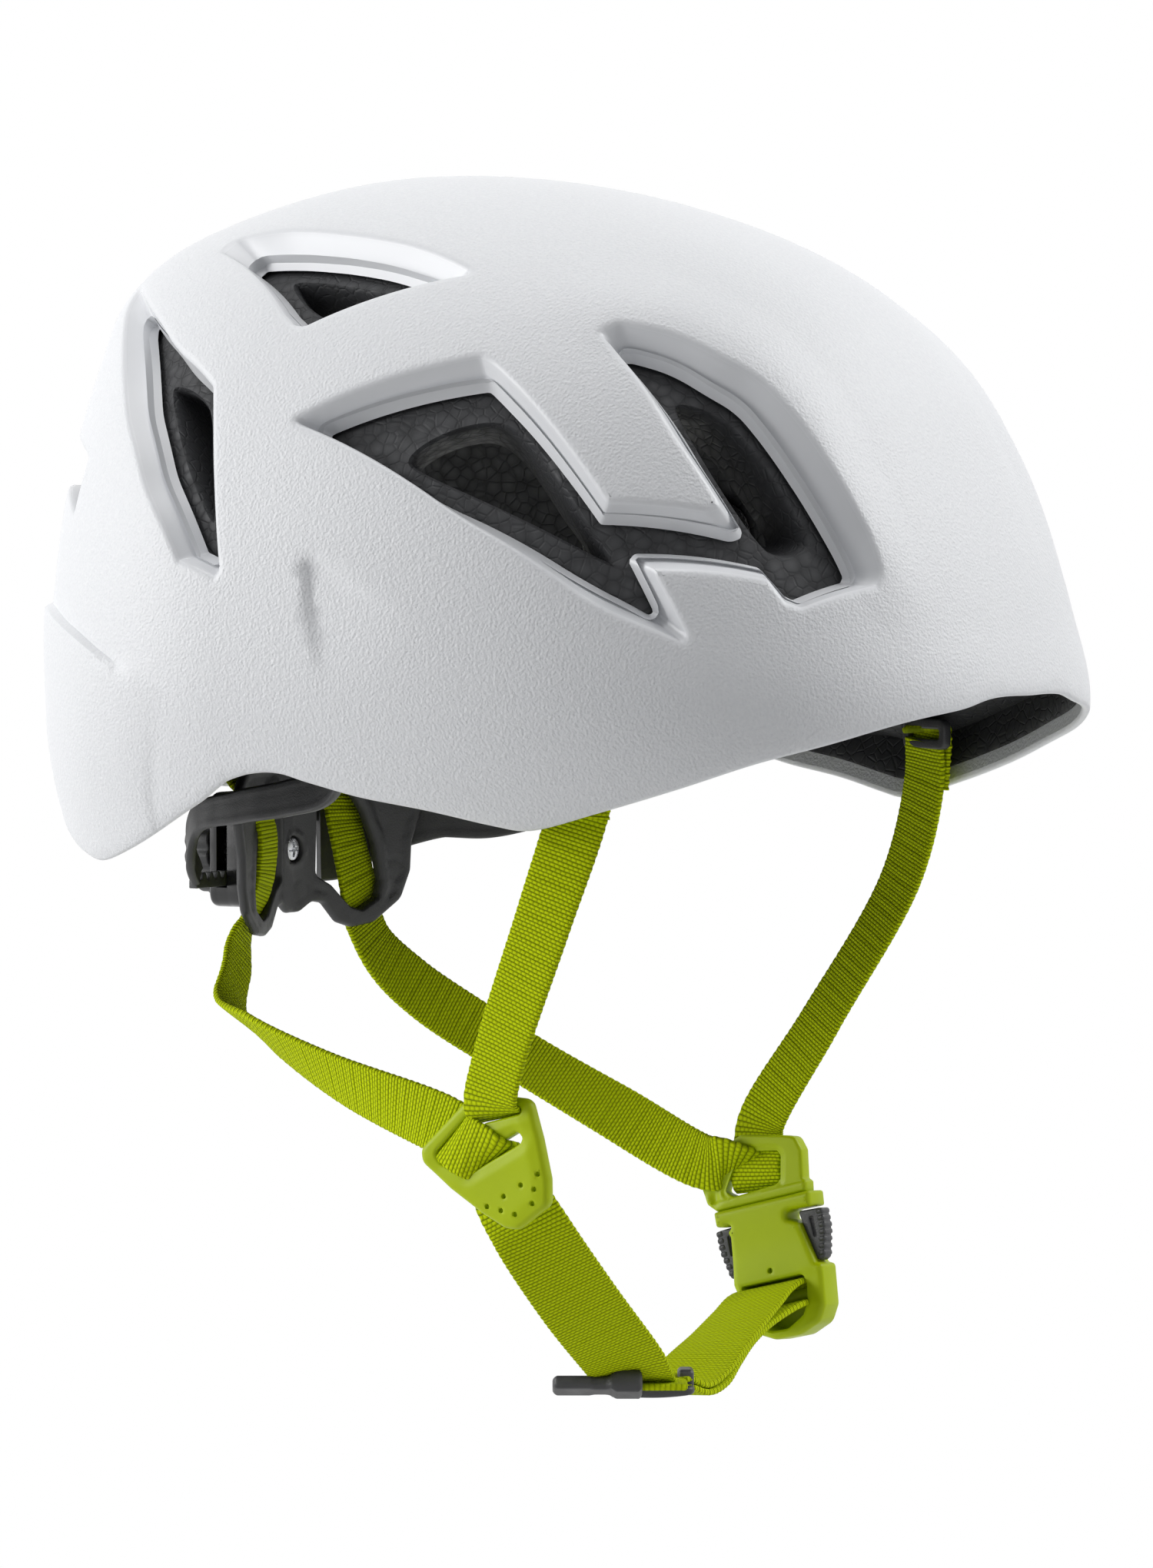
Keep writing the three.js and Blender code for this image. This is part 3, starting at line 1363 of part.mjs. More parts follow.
function buildStud(side) {
  const stud = studPoint();
  const armX = stud.x - studStandoff - armWall / 2;
  const headTo = armX - armWall / 2 - studFit;
  let body = rodAlongX(studHeadRadius, headTo - studHeadThickness, headTo, roundSegmentCount);
  const shankTo = stud.x + studShankLength;
  body = body.add(rodAlongX(studShankRadius, headTo - studFit, shankTo, smallSegmentCount));
  body = body.translate([0, stud.y, stud.z]);
  if (side < 0) body = body.mirror([1, 0, 0]);
  return geometryOf(body);
}

function studBore(side) {
  const stud = studPoint();
  const from = stud.x - cutOverrun;
  const to = stud.x + studShankLength + studFit;
  let bore = rodAlongX(studShankRadius + studFit, from, to, smallSegmentCount);
  bore = bore.translate([0, stud.y, stud.z]);
  return side < 0 ? bore.mirror([1, 0, 0]) : bore;
}

// Straps
const frontShared = [
  underSkin(frontTopShares, frontTopDepth),
  underSkin(frontRimShares, frontRimDepth),
  hang(frontStrapShares.cheek),
];
const frontRightStations = [
  ...frontShared,
  hang(frontStrapShares.rightLow),
  mirrorX(byDivider(dividerMeetShares.front)),
];
const frontLeftStations = [
  ...frontShared,
  hang(frontStrapShares.leftLow),
  byBuckle(buckleMeetShares.front),
];
const napeDown = [
  underSkin(rearTopShares, linerInner + rearTopStandoff),
  underSkin(rearLipShares, linerInner + rearLipStandoff),
  ...['belt', 'window', 'bar', 'below'].map((key) => byCradle(rearStrapCradleShares[key])),
];
const rearRightStations = [
  ...napeDown,
  ...['rightTurn', 'rightTwist', 'rightSide'].map((key) => hang(rearStrapShares[key])),
  mirrorX(byDivider(dividerMeetShares.rear)),
];
const rearLeftStations = [
  ...napeDown,
  ...['leftTurn', 'leftTwist', 'leftSide'].map((key) => hang(rearStrapShares[key])),
  byBuckle(buckleMeetShares.rear),
];

function webbing(stations, widths) {
  return sweepBand(stations, widths, sideWebbingWidth, webbingThickness, webbingStepCount);
}

// Each strap and its anchor follow one route, so both are made from it
function frontStrap(side, make) {
  return side < 0
    ? make(frontRightStations.map(mirrorX), frontRightWidthShares.map(mirrorX), -1)
    : make(frontLeftStations, frontLeftWidthShares, 1);
}

function rearStrap(side, make) {
  return side < 0
    ? make(rearRightStations.map(mirrorX), rearWidthShares.map(mirrorX), -1)
    : make(rearLeftStations, rearWidthShares, 1);
}

function chinNear() {
  const stations = [
    byDivider(dividerMeetShares.chin),
    hang(chinNearShares.cheek),
    ...['nearJaw', 'nearLow', 'nearIn', 'nearTurn'].map((key) => bySlider(sliderMeetShares[key])),
  ];
  return sweepBand(stations, chinNearWidthShares, chinWebbingWidth, webbingThickness, webbingStepCount);
}

// The far side runs from the slider to the housing's bar and back, so it lies double
function chinFar() {
  const lower = [
    bySlider(sliderMeetShares.farTurn),
    bySlider(sliderMeetShares.farOut),
    ...['low', 'jaw', 'high'].map((key) => hang(chinFarShares[key])),
    byBuckle(buckleMeetShares.chin),
  ];
  const lift = webbingThickness + chinFoldGap;
  const upper = lower.map(([x, y, z]) => [x, y, z + lift]);
  const [under, over] = [lower, upper].map((stations) => solidFromGeometry(
    sweepBand(stations, chinFarWidthShares, chinWebbingWidth, webbingThickness, webbingStepCount),
  ));
  return geometryOf(under.add(over));
}

const black = 0x1b1c1d;
const webbingGreen = 0x9bb400;
const plasticGreen = 0x93ab06;
const group = new THREE.Group();
group.name = 'climbing_helmet';

function addPiece(name, geometry, color, roughness, metalness = 0) {
  geometry.translate(0, 0, -crownSeatZ);
  const flat = geometry.index ? geometry.toNonIndexed() : geometry;
  flat.deleteAttribute('normal');
  flat.deleteAttribute('uv');
  const material = new THREE.MeshStandardMaterial({ color, roughness, metalness });
  material.name = name;
  const mesh = new THREE.Mesh(flat, material);
  mesh.name = name;
  group.add(mesh);
}

let liner = buildLiner();
sides.forEach((side) => { liner = liner.subtract(studBore(side)); });

addPiece('outer_shell', buildShell(0), 0xe9eaec, 0.45);
addPiece('foam_liner', geometryOf(liner), 0x222325, 0.85);
addPiece('brow_pad', buildPatchPad(browPadShares, 1), 0x161617, 0.95);
addPiece('crown_pad', buildCrownPad(), 0x161617, 0.95);
addPiece('side_pad_right', buildPatchPad(sidePadShares, 1), 0x161617, 0.95);
addPiece('side_pad_left', buildPatchPad(sidePadShares, -1), 0x161617, 0.95);
[['right', -1], ['left', 1]].forEach(([label, side]) => {
  addPiece(`strap_anchor_front_${label}`, frontStrap(side, buildAnchor), black, 0.5);
  addPiece(`strap_anchor_rear_${label}`, rearStrap(side, buildAnchor), black, 0.5);
  addPiece(`front_strap_${label}`, frontStrap(side, webbing), webbingGreen, 0.9);
  addPiece(`rear_strap_${label}`, rearStrap(side, webbing), webbingGreen, 0.9);
  addPiece(`headband_arm_${label}`, buildArm(side), black, 0.55);
  addPiece(`size_rack_${label}`, buildRack(side), black, 0.5);
  addPiece(`temple_stud_${label}`, buildStud(side), black, 0.5);
});
addPiece('strap_divider_right', buildDivider(), plasticGreen, 0.55);
addPiece('chin_strap_near', chinNear(), webbingGreen, 0.9);
addPiece('chin_strap_far', chinFar(), webbingGreen, 0.9);
addPiece('buckle_frame', buildBuckleFrame(), plasticGreen, 0.5);
addPiece('buckle_housing', buildBuckleHousing(), plasticGreen, 0.5);
addPiece('release_button_front', buildButton(-1), black, 0.5);
addPiece('release_button_rear', buildButton(1), black, 0.5);
addPiece('button_spring', buildButtonSpring(), 0xb9bcc0, 0.35, 0.9);
addPiece('chin_slider', buildSlider(), black, 0.5);
addPiece('strap_end_tab', buildTab(), black, 0.5);
addPiece('nape_cradle', buildCradle(), black, 0.6);
addPiece('dial_housing', buildHousing(), 0x0d0e10, 0.2);
addPiece('dial_pinion', buildPinion(), black, 0.4);
addPiece('dial_pawl', buildPawl(), black, 0.4);
addPiece('dial_knob', buildKnob(), black, 0.35);
addPiece('dial_screw', buildScrew(), 0xb9bcc0, 0.3, 0.9);

export default group;
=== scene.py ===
"""Climbing helmet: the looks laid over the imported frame.

Shapes are worked out in millimetres from the brim datum, like the CAD, and set down in
metres in the frame of the part, whose origin is the crown seat.
"""
import math

import bmesh
import bpy
import numpy as np
from mathutils import Matrix, Vector, geometry


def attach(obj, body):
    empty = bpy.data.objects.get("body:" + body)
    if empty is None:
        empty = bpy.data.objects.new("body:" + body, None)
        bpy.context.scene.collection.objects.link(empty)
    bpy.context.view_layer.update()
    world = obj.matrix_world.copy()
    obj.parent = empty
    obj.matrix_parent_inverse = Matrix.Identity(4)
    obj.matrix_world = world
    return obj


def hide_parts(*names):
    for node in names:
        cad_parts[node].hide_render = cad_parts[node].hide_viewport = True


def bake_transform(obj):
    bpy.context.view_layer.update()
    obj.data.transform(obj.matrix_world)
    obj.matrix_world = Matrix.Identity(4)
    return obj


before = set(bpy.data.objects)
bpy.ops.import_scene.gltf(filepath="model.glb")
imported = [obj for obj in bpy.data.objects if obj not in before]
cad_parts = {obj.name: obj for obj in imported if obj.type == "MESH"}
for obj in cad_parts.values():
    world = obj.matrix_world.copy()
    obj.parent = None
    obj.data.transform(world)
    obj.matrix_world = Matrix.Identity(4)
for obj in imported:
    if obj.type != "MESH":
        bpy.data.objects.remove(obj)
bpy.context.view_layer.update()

MM = 0.001
CROWN_SEAT = 77.4

# Form of the shell
CROWN_RISE = 110
BROW_REACH = 157
NAPE_REACH = 128
HALF_WIDTH = 111
BROW_ROUNDNESS = 2.42
NAPE_ROUNDNESS = 2.2
FORM_RISES = [-32, -12, 0, 18, 34, 46, 56, 70, 90]
BROW_SHARES = [1.13, 1.08, 1.02, 0.98, 1, 1.025, 1.03, 1.015, 1.015]
NAPE_SHARES = [0.9, 0.765, 0.75, 0.765, 0.84, 0.96, 1.02, 0.97, 0.97]
WIDTH_SHARES = [1.04, 1.015, 0.995, 0.985, 0.985, 0.995, 1.005, 1.015, 1.015]
INWARD_AIM = CROWN_RISE * 0.15
PER_DEGREE = math.radians(CROWN_RISE)
SKIN = 2.2
FLANGE = 7
LINER_GAP = 0.9
LINER_WALL = 22
PAD_GAP = 1.5
PAD_THICKNESS = 6

# Shares of the half turn from brow to nape and of the quarter turn from datum to crown
RIM = [
    (0, -0.108), (0.055, -0.111), (0.085, -0.124), (0.135, -0.141), (0.186, -0.171),
    (0.229, -0.2), (0.267, -0.237), (0.304, -0.273), (0.338, -0.303), (0.357, -0.296),
    (0.389, -0.275), (0.425, -0.256), (0.453, -0.235), (0.469, -0.222), (0.486, -0.224),
    (0.533, -0.273), (0.589, -0.325), (0.64, -0.362), (0.69, -0.384), (0.73, -0.372),
    (0.77, -0.34), (0.82, -0.31), (0.9, -0.295), (1, -0.29),
]
LINER_LIFT = [
    (0, 0.03), (0.2, 0.05), (0.24, 0.085), (0.36, 0.085), (0.42, 0.045), (0.6, 0.04), (1, 0.05),
]
SIDE_VENT = [
    (0.467, 0.282, 0.451, 0.275), (0.354, 0.385, 0.352, 0.35), (0.347, 0.376, 0.34, 0.316),
    (0.287, 0.16, 0.293, 0.141), (0.233, 0.148, 0.22, 0.117), (0.226, 0.154, 0.213, 0.123),
    (0.226, 0.166, 0.211, 0.133), (0.245, 0.265, 0.228, 0.23), (0.278, 0.426, 0.264, 0.402),
    (0.264, 0.44, 0.258, 0.402), (0.23, 0.417, 0.234, 0.383), (0.205, 0.38, 0.213, 0.345),
    (0.182, 0.345, 0.195, 0.316), (0.161, 0.272, 0.179, 0.253), (0.147, 0.201, 0.165, 0.185),
    (0.133, 0.107, 0.15, 0.09), (0.131, 0.061, 0.148, 0.068), (0.137, 0.044, 0.151, 0.06),
    (0.191, 0.015, 0.189, 0.035), (0.2, 0.023, 0.195, 0.042), (0.207, 0.054, 0.206, 0.081),
    (0.268, 0.069, 0.277, 0.099), (0.268, 0.06, 0.281, 0.088), (0.257, -0.022, 0.272, 0.015),
    (0.26, -0.031, 0.275, 0.011), (0.299, 0.014, 0.305, 0.055), (0.365, 0.141, 0.379, 0.168),
]
TOP_VENT = [
    (0.645, 0.609, 0.59, 0.596), (0.647, 0.642, 0.59, 0.612), (0.591, 0.663, 0.548, 0.613),
    (0.475, 0.645, 0.477, 0.6), (0.4, 0.605, 0.429, 0.577), (0.358, 0.547, 0.386, 0.536),
    (0.478, 0.443, 0.472, 0.459), (0.487, 0.446, 0.48, 0.461),
]
REAR_SIDE_VENT = [
    (0.77, 0.53, 0.705, 0.476), (0.687, 0.486, 0.665, 0.445), (0.61, 0.405, 0.599, 0.381),
    (0.544, 0.339, 0.546, 0.328), (0.499, 0.065, 0.507, 0.092), (0.502, 0.053, 0.51, 0.082),
    (0.541, 0.076, 0.528, 0.094), (0.59, 0.18, 0.578, 0.205), (0.642, 0.29, 0.626, 0.311),
    (0.69, 0.383, 0.665, 0.4), (0.751, 0.489, 0.694, 0.452),
]
NAPE_VENT = [
    (0.7, 0.225, 0.712, 0.212), (0.87, 0.235, 0.862, 0.222), (0.88, 0.165, 0.87, 0.174),
    (0.71, 0.14, 0.722, 0.158),
]
VENTS = [SIDE_VENT, TOP_VENT, REAR_SIDE_VENT, NAPE_VENT]
WINDOWS = [
    [(0.4, 0.235), (0.345, 0.3), (0.3, 0.15), (0.288, 0.08)],
    [(0.235, 0.33), (0.205, 0.31), (0.175, 0.2), (0.165, 0.11), (0.195, 0.1)],
    [(0.54, 0.585), (0.45, 0.565), (0.42, 0.54), (0.47, 0.49)],
    [(0.63, 0.36), (0.57, 0.33), (0.545, 0.24), (0.53, 0.14), (0.575, 0.23)],
]
RIDGE = [
    (0.309, 0.542), (0.255, 0.484), (0.216, 0.438), (0.181, 0.386), (0.171, 0.361),
    (0.149, 0.267), (0.139, 0.173), (0.119, 0.058), (0.105, -0.03), (0.093, -0.124),
]
LEDGE = [
    (1.0, 0.012), (0.9, 0.01), (0.8, 0.006), (0.732, 0), (0.695, -0.017), (0.639, -0.051),
    (0.611, -0.073), (0.561, -0.098), (0.544, -0.149),
]
CREASE_DOWN = [(0.45, 0.078), (0.446, 0.0), (0.442, -0.062)]
CREASE_FORE = [(0.442, 0.078), (0.415, 0.033), (0.389, -0.006), (0.367, -0.04), (0.347, -0.069)]
FIN_MIDDLE = (0.42, -0.02)
FIN_HEIGHT = -1.0
FIN_FADE = (3, 36)
RIDGE_HEIGHT, RIDGE_REACH = 2.1, 17
LEDGE_HEIGHT = 2.4
LEDGE_FADE = (26, 60)

# Pads: from bearing, to bearing, from rise, to rise
BROW_PAD = (-0.29, 0.29, -0.055, 0.1)
SIDE_PAD = (0.4, 0.56, 0.02, 0.19)
CROWN_PAD_REACH = 38


# The form, over arrays
def share_at(shares, rise):
    rises = np.asarray(FORM_RISES, float)
    shares = np.asarray(shares, float)
    spans = np.diff(rises)
    slopes = np.diff(shares) / spans
    tangents = np.zeros(len(shares))
    tangents[0] = slopes[0]
    tangents[1:-1] = (slopes[:-1] * spans[1:] + slopes[1:] * spans[:-1]) / (spans[1:] + spans[:-1])
    i = np.clip(np.searchsorted(rises, rise, side="right") - 1, 0, len(rises) - 2)
    t = (rise - rises[i]) / spans[i]
    t2, t3 = t * t, t * t * t
    return ((2 * t3 - 3 * t2 + 1) * shares[i] + (t3 - 2 * t2 + t) * spans[i] * tangents[i]
            + (3 * t2 - 2 * t3) * shares[i + 1] + (t3 - t2) * spans[i] * tangents[i + 1])


def flat_to_form(flat):
    radius = np.hypot(flat[:, 0], flat[:, 1])
    bearing = np.arctan2(-flat[:, 0], -flat[:, 1])
    rise = 90 - radius / PER_DEGREE
    along, across = -np.cos(bearing), -np.sin(bearing)
    power = np.where(along < 0, BROW_ROUNDNESS, NAPE_ROUNDNESS)
    plan = (np.abs(along) ** power + np.abs(across) ** power) ** (-1 / power)
    level = np.cos(np.radians(rise)) * plan
    reach = np.where(along < 0, BROW_REACH * share_at(BROW_SHARES, rise),
                     NAPE_REACH * share_at(NAPE_SHARES, rise))
    return np.column_stack([
        HALF_WIDTH * share_at(WIDTH_SHARES, rise) * level * across,
        reach * level * along,
        CROWN_RISE * np.sin(np.radians(rise)),
    ])


def wrap(flat, depth):
    """Lays flat points on the dome: along the normal near the skin, then towards the head."""
    flat = np.asarray(flat, float)
    depth = np.broadcast_to(np.asarray(depth, float), len(flat))
    point = flat_to_form(flat)
    half = PER_DEGREE / 2
    along_x = flat_to_form(flat + (half, 0)) - flat_to_form(flat - (half, 0))
    along_y = flat_to_form(flat + (0, half)) - flat_to_form(flat - (0, half))
    normal = np.cross(along_x, along_y)
    normal /= np.linalg.norm(normal, axis=1)[:, None]
    shallow = np.maximum(depth, -FLANGE)
    point = point + normal * shallow[:, None]
    inward = np.array([0, 0, INWARD_AIM]) - point
    inward /= np.linalg.norm(inward, axis=1)[:, None]
    return point + inward * (shallow - depth)[:, None]


def flat_rows(rows, side=1, column=0):
    rows = np.asarray(rows, float)
    bearing = np.radians(rows[:, column] * 180 * side)
    radius = (90 - rows[:, column + 1] * 90) * PER_DEGREE
    return np.column_stack([-radius * np.sin(bearing), -radius * np.cos(bearing)])


# Curves and outlines
def smooth(points, step, closed=True, centripetal=True):
    """Points along the Catmull-Rom curve; matched columns are carried along with it."""
    p = np.asarray(points, float)
    n = len(p)
    out = []
    for i in range(n if closed else n - 1):
        p1, p2 = p[i], p[(i + 1) % n]
        p0 = p[i - 1] if closed or i else 2 * p1 - p2
        p3 = p[(i + 2) % n] if closed or i + 2 < n else 2 * p2 - p1
        if centripetal:
            d0, d1, d2 = (max(np.linalg.norm(b - a), 1e-6) ** 0.5
                          for a, b in ((p0, p1), (p1, p2), (p2, p3)))
            m1 = ((p1 - p0) / d0 - (p2 - p0) / (d0 + d1) + (p2 - p1) / d1) * d1
            m2 = ((p2 - p1) / d1 - (p3 - p1) / (d1 + d2) + (p3 - p2) / d2) * d1
        else:
            m1, m2 = (p2 - p0) / 2, (p3 - p1) / 2
        count = max(1, math.ceil(np.linalg.norm((p2 - p1)[:3]) / step)) if step else 40
        t = (np.arange(count) / count)[:, None]
        out.append((2 * t**3 - 3 * t**2 + 1) * p1 + (t**3 - 2 * t**2 + t) * m1
                   + (3 * t**2 - 2 * t**3) * p2 + (t**3 - t**2) * m2)
    if not closed:
        out.append(p[-1:])
    return np.vstack(out)


def area(loop):
    x, y = loop[:, 0], loop[:, 1]
    return float(np.sum(x * np.roll(y, -1) - y * np.roll(x, -1)) / 2)


def turned_left(loop):
    return loop if area(loop) > 0 else loop[::-1]


def outward(loop):
    along = np.roll(loop, -1, 0) - np.roll(loop, 1, 0)
    along /= np.maximum(np.linalg.norm(along, axis=1), 1e-9)[:, None]
    return np.column_stack([along[:, 1], -along[:, 0]]) * np.sign(area(loop))


def grow(loop, amount):
    return loop + outward(loop) * amount


def inside(points, loop):
    x, y = points[:, 0], points[:, 1]
    result = np.zeros(len(points), bool)
    for (x1, y1), (x2, y2) in zip(loop, np.roll(loop, -1, 0)):
        crosses = (y1 > y) != (y2 > y)
        with np.errstate(divide="ignore", invalid="ignore"):
            at = (x2 - x1) * (y - y1) / (y2 - y1) + x1
        result ^= crosses & (x < at)
    return result


def fill(outer, holes, step, keep=()):
    """Even triangles inside an outline and outside its holes; the loops' points come first."""
    loops = [outer, *holes, *keep]
    edge = np.vstack(loops)
    low, high = outer.min(0), outer.max(0)
    rows = np.arange(low[1], high[1], step * 0.87)
    grid = np.array([(x, y) for i, y in enumerate(rows)
                     for x in np.arange(low[0] + (i % 2) * step / 2, high[0], step)])
    grid = grid[inside(grid, outer)]
    for hole in holes:
        grid = grid[~inside(grid, hole)]
    far = []
    for chunk in np.array_split(grid, max(1, len(grid) // 2000)):
        gap = np.min(np.sum((chunk[:, None] - edge[None]) ** 2, axis=2), axis=1)
        far.append(chunk[gap > (0.55 * step) ** 2])
    points = np.vstack([edge, *far])
    edges, start = [], 0
    for loop in loops:
        edges += [(start + i, start + (i + 1) % len(loop)) for i in range(len(loop))]
        start += len(loop)
    found = geometry.delaunay_2d_cdt([Vector(p) for p in points], edges, [], 0, 1e-6, True)
    faces, sources = found[2:4]
    back = np.array([ids[0] if ids else -1 for ids in sources])
    tris = back[np.array([f for f in faces if len(f) == 3])]
    tris = tris[(tris >= 0).all(axis=1)]
    centres = points[tris].mean(axis=1)
    good = inside(centres, outer)
    for hole in holes:
        good &= ~inside(centres, hole)
    tris = tris[good]
    a, b, c = (points[tris[:, k]] for k in range(3))
    turn = (b[:, 0] - a[:, 0]) * (c[:, 1] - a[:, 1]) - (b[:, 1] - a[:, 1]) * (c[:, 0] - a[:, 0])
    tris[turn < 0] = tris[turn < 0][:, ::-1]
    return points, tris, [len(loop) for loop in loops]


class Builder:
    """Collects points in millimetres from the brim datum, and faces."""

    def __init__(self):
        self.points, self.faces, self.count = [], [], 0

    def add(self, points):
        points = np.asarray(points, float)
        self.points.append(points)
        start = self.count
        self.count += len(points)
        return np.arange(start, self.count)

    def tris(self, tris):
        self.faces += [tuple(map(int, f)) for f in tris]

    def strip(self, a, b, closed=True, flip=False):
        n = len(a)
        for i in range(n if closed else n - 1):
            j = (i + 1) % n
            face = (int(a[i]), int(a[j]), int(b[j]), int(b[i]))
            self.faces.append(face[::-1] if flip else face)

    def cap(self, ring, flip=False):
        ring = [int(i) for i in ring]
        self.faces.append(tuple(ring[::-1] if flip else ring))

    def tube(self, count):
        """Joins all rings of so many points, one after another, and closes both ends."""
        rings = np.arange(self.count).reshape(-1, count)
        for a, b in zip(rings[:-1], rings[1:]):
            self.strip(a, b)
        self.cap(rings[0], flip=True)
        self.cap(rings[-1])


def make(name, points, faces, slot, body, nodes=(), sharp=40, uv=None, masks=None):
    """A smooth-shaded piece from millimetre points; its slot names its finish too."""
    points = np.vstack(points) if isinstance(points, list) else np.asarray(points)
    mesh = bpy.data.meshes.new(name)
    world = (points - (0, 0, CROWN_SEAT)) * MM
    mesh.from_pydata(world.tolist(), [], faces)
    mesh.validate()
    facing = bmesh.new()
    facing.from_mesh(mesh)
    bmesh.ops.holes_fill(facing, edges=[e for e in facing.edges if e.is_boundary], sides=7)
    bmesh.ops.recalc_face_normals(facing, faces=facing.faces)
    facing.to_mesh(mesh)
    facing.free()
    mesh.shade_smooth()
    if sharp:
        mesh.set_sharp_from_angle(angle=math.radians(sharp))
    if uv is not None:
        layer = mesh.uv_layers.new(name="UVMap")
        index = np.zeros(len(mesh.loops), np.int32)
        mesh.loops.foreach_get("vertex_index", index)
        layer.data.foreach_set("uv", np.asarray(uv, np.float32)[index].ravel())
    for key, values in (masks or {}).items():
        attribute = mesh.attributes.new(key, "FLOAT", "POINT")
        attribute.data.foreach_set("value", np.asarray(values, np.float32))
    mesh.materials.append(FINISHES[slot])
    piece = bpy.data.objects.new(name, mesh)
    bpy.context.scene.collection.objects.link(piece)
    if nodes:
        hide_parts(*nodes)
    if body:
        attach(piece, body)
    return piece


def rounded(points, radius, step=0.6):
    """A closed outline with its corners rounded and its sides divided evenly."""
    p = np.asarray(points, float)
    n = len(p)
    radii = np.broadcast_to(np.asarray(radius, float), n)
    out = []
    for i in range(n):
        before, after = p[i - 1] - p[i], p[(i + 1) % n] - p[i]
        lb, la = np.linalg.norm(before), np.linalg.norm(after)
        before, after = before / lb, after / la
        angle = math.acos(max(-1.0, min(1.0, float(before @ after))))
        reach = min(radii[i] / max(math.tan(angle / 2), 1e-3), 0.48 * lb, 0.48 * la)
        a, c = p[i] + before * reach, p[i] + after * reach
        count = max(1, math.ceil(2 * reach / step))
        t = (np.arange(count + 1) / count)[:, None]
        out.append((1 - t) ** 2 * a + 2 * t * (1 - t) * p[i] + t * t * c)
    path = np.vstack(out)
    even = []
    for a, c in zip(path, np.roll(path, -1, 0)):
        count = max(1, math.ceil(np.linalg.norm(c - a) / step))
        if np.linalg.norm(c - a) > 1e-6:
            even.append(a + (c - a) * (np.arange(count) / count)[:, None])
    return np.vstack(even)


def box(x0, x1, y0, y1):
    return [(x0, y0), (x1, y0), (x1, y1), (x0, y1)]


def circle(x, y, radius, count=16):
    angle = np.arange(count) * 2 * math.pi / count
    return np.column_stack([x + radius * np.cos(angle), y + radius * np.sin(angle)])


def level_face(flat):
    return np.zeros(len(flat))


def plate(outline, holes=(), low=0.0, high=1.0, edge=0.6, under=None, hole_edge=None, step=0.8,
          top=None, bottom=None, pits=(), arcs=4):
    """A plate between two heights with rounded edges; top and bottom add to its faces.

    Each pit is a loop, its depth and the rounding of its mouth.
    """
    under = edge if under is None else under
    hole_edge = edge if hole_edge is None else hole_edge
    loops = [turned_left(outline)] + [turned_left(hole) for hole in holes]
    rounds = [edge] + [hole_edge] * len(holes)
    unders = [under] + [min(under, hole_edge)] * len(holes)
    signs = [1] + [-1] * len(holes)
    inner = [grow(loop, -r * sign) for loop, r, sign in zip(loops, rounds, signs)]
    mouths = [grow(turned_left(loop), r) for loop, _, r in pits]
    top, bottom = top or level_face, bottom or level_face
    b = Builder()
    flat, tris, sizes = fill(inner[0], inner[1:] + mouths, step)
    front = b.add(np.column_stack([flat, high + top(flat)]))
    b.tris(tris)
    base, base_tris, _ = fill(inner[0], inner[1:], step * 1.5)
    base = base.copy()
    starts = np.concatenate([[0], np.cumsum(sizes)])
    for i, (loop, r, sign) in enumerate(zip(loops, unders, signs)):
        base[starts[i]:starts[i + 1]] = grow(loop, -r * sign)
    back = b.add(np.column_stack([base, low - bottom(base)]))
    b.tris(back[base_tris][:, ::-1])
    for i, (loop, sign) in enumerate(zip(loops, signs)):
        run = slice(starts[i], starts[i + 1])
        previous = front[run]
        lift, drop = top(inner[i]), bottom(base[run])
        for k in range(1, 2 * arcs + 2):
            upper = k <= arcs
            turn = math.pi / 2 * (k / arcs if upper else (2 * arcs + 1 - k) / arcs)
            r = rounds[i] if upper else unders[i]
            ring = grow(loop, -r * (1 - math.sin(turn)) * sign)
            if upper:
                height = high - r * (1 - math.cos(turn)) + lift * math.cos(turn)
            else:
                height = low + r * (1 - math.cos(turn)) - drop * math.cos(turn)
            if k == 2 * arcs + 1:
                b.strip(previous, back[run], flip=sign < 0)
                break
            current = b.add(np.column_stack([ring, np.broadcast_to(height, len(ring))]))
            b.strip(previous, current, flip=sign < 0)
            previous = current
    for i, (loop, depth, r) in enumerate(pits):
        run = slice(starts[len(loops) + i], starts[len(loops) + i + 1])
        loop = turned_left(loop)
        previous = front[run]
        level = float(np.mean(high + top(flat[run])))
        for share, drop in ((0.3, 0.3), (0, 1)):
            ring = grow(loop, r * share)
            current = b.add(np.column_stack([ring, level - r * np.full(len(ring), drop)]))
            b.strip(previous, current, flip=True)
            previous = current
        floor = b.add(np.column_stack([loop, np.full(len(loop), level - depth)]))
        b.strip(previous, floor, flip=True)
        b.cap(floor)
    return np.vstack(b.points), b.faces


def join(*parts):
    points, faces, count = [], [], 0
    for part_points, part_faces in parts:
        points.append(part_points)
        faces += [tuple(v + count for v in face) for face in part_faces]
        count += len(part_points)
    return np.vstack(points), faces


def turn_about(axis, degrees):
    return np.array(Matrix.Rotation(math.radians(degrees), 3, axis))


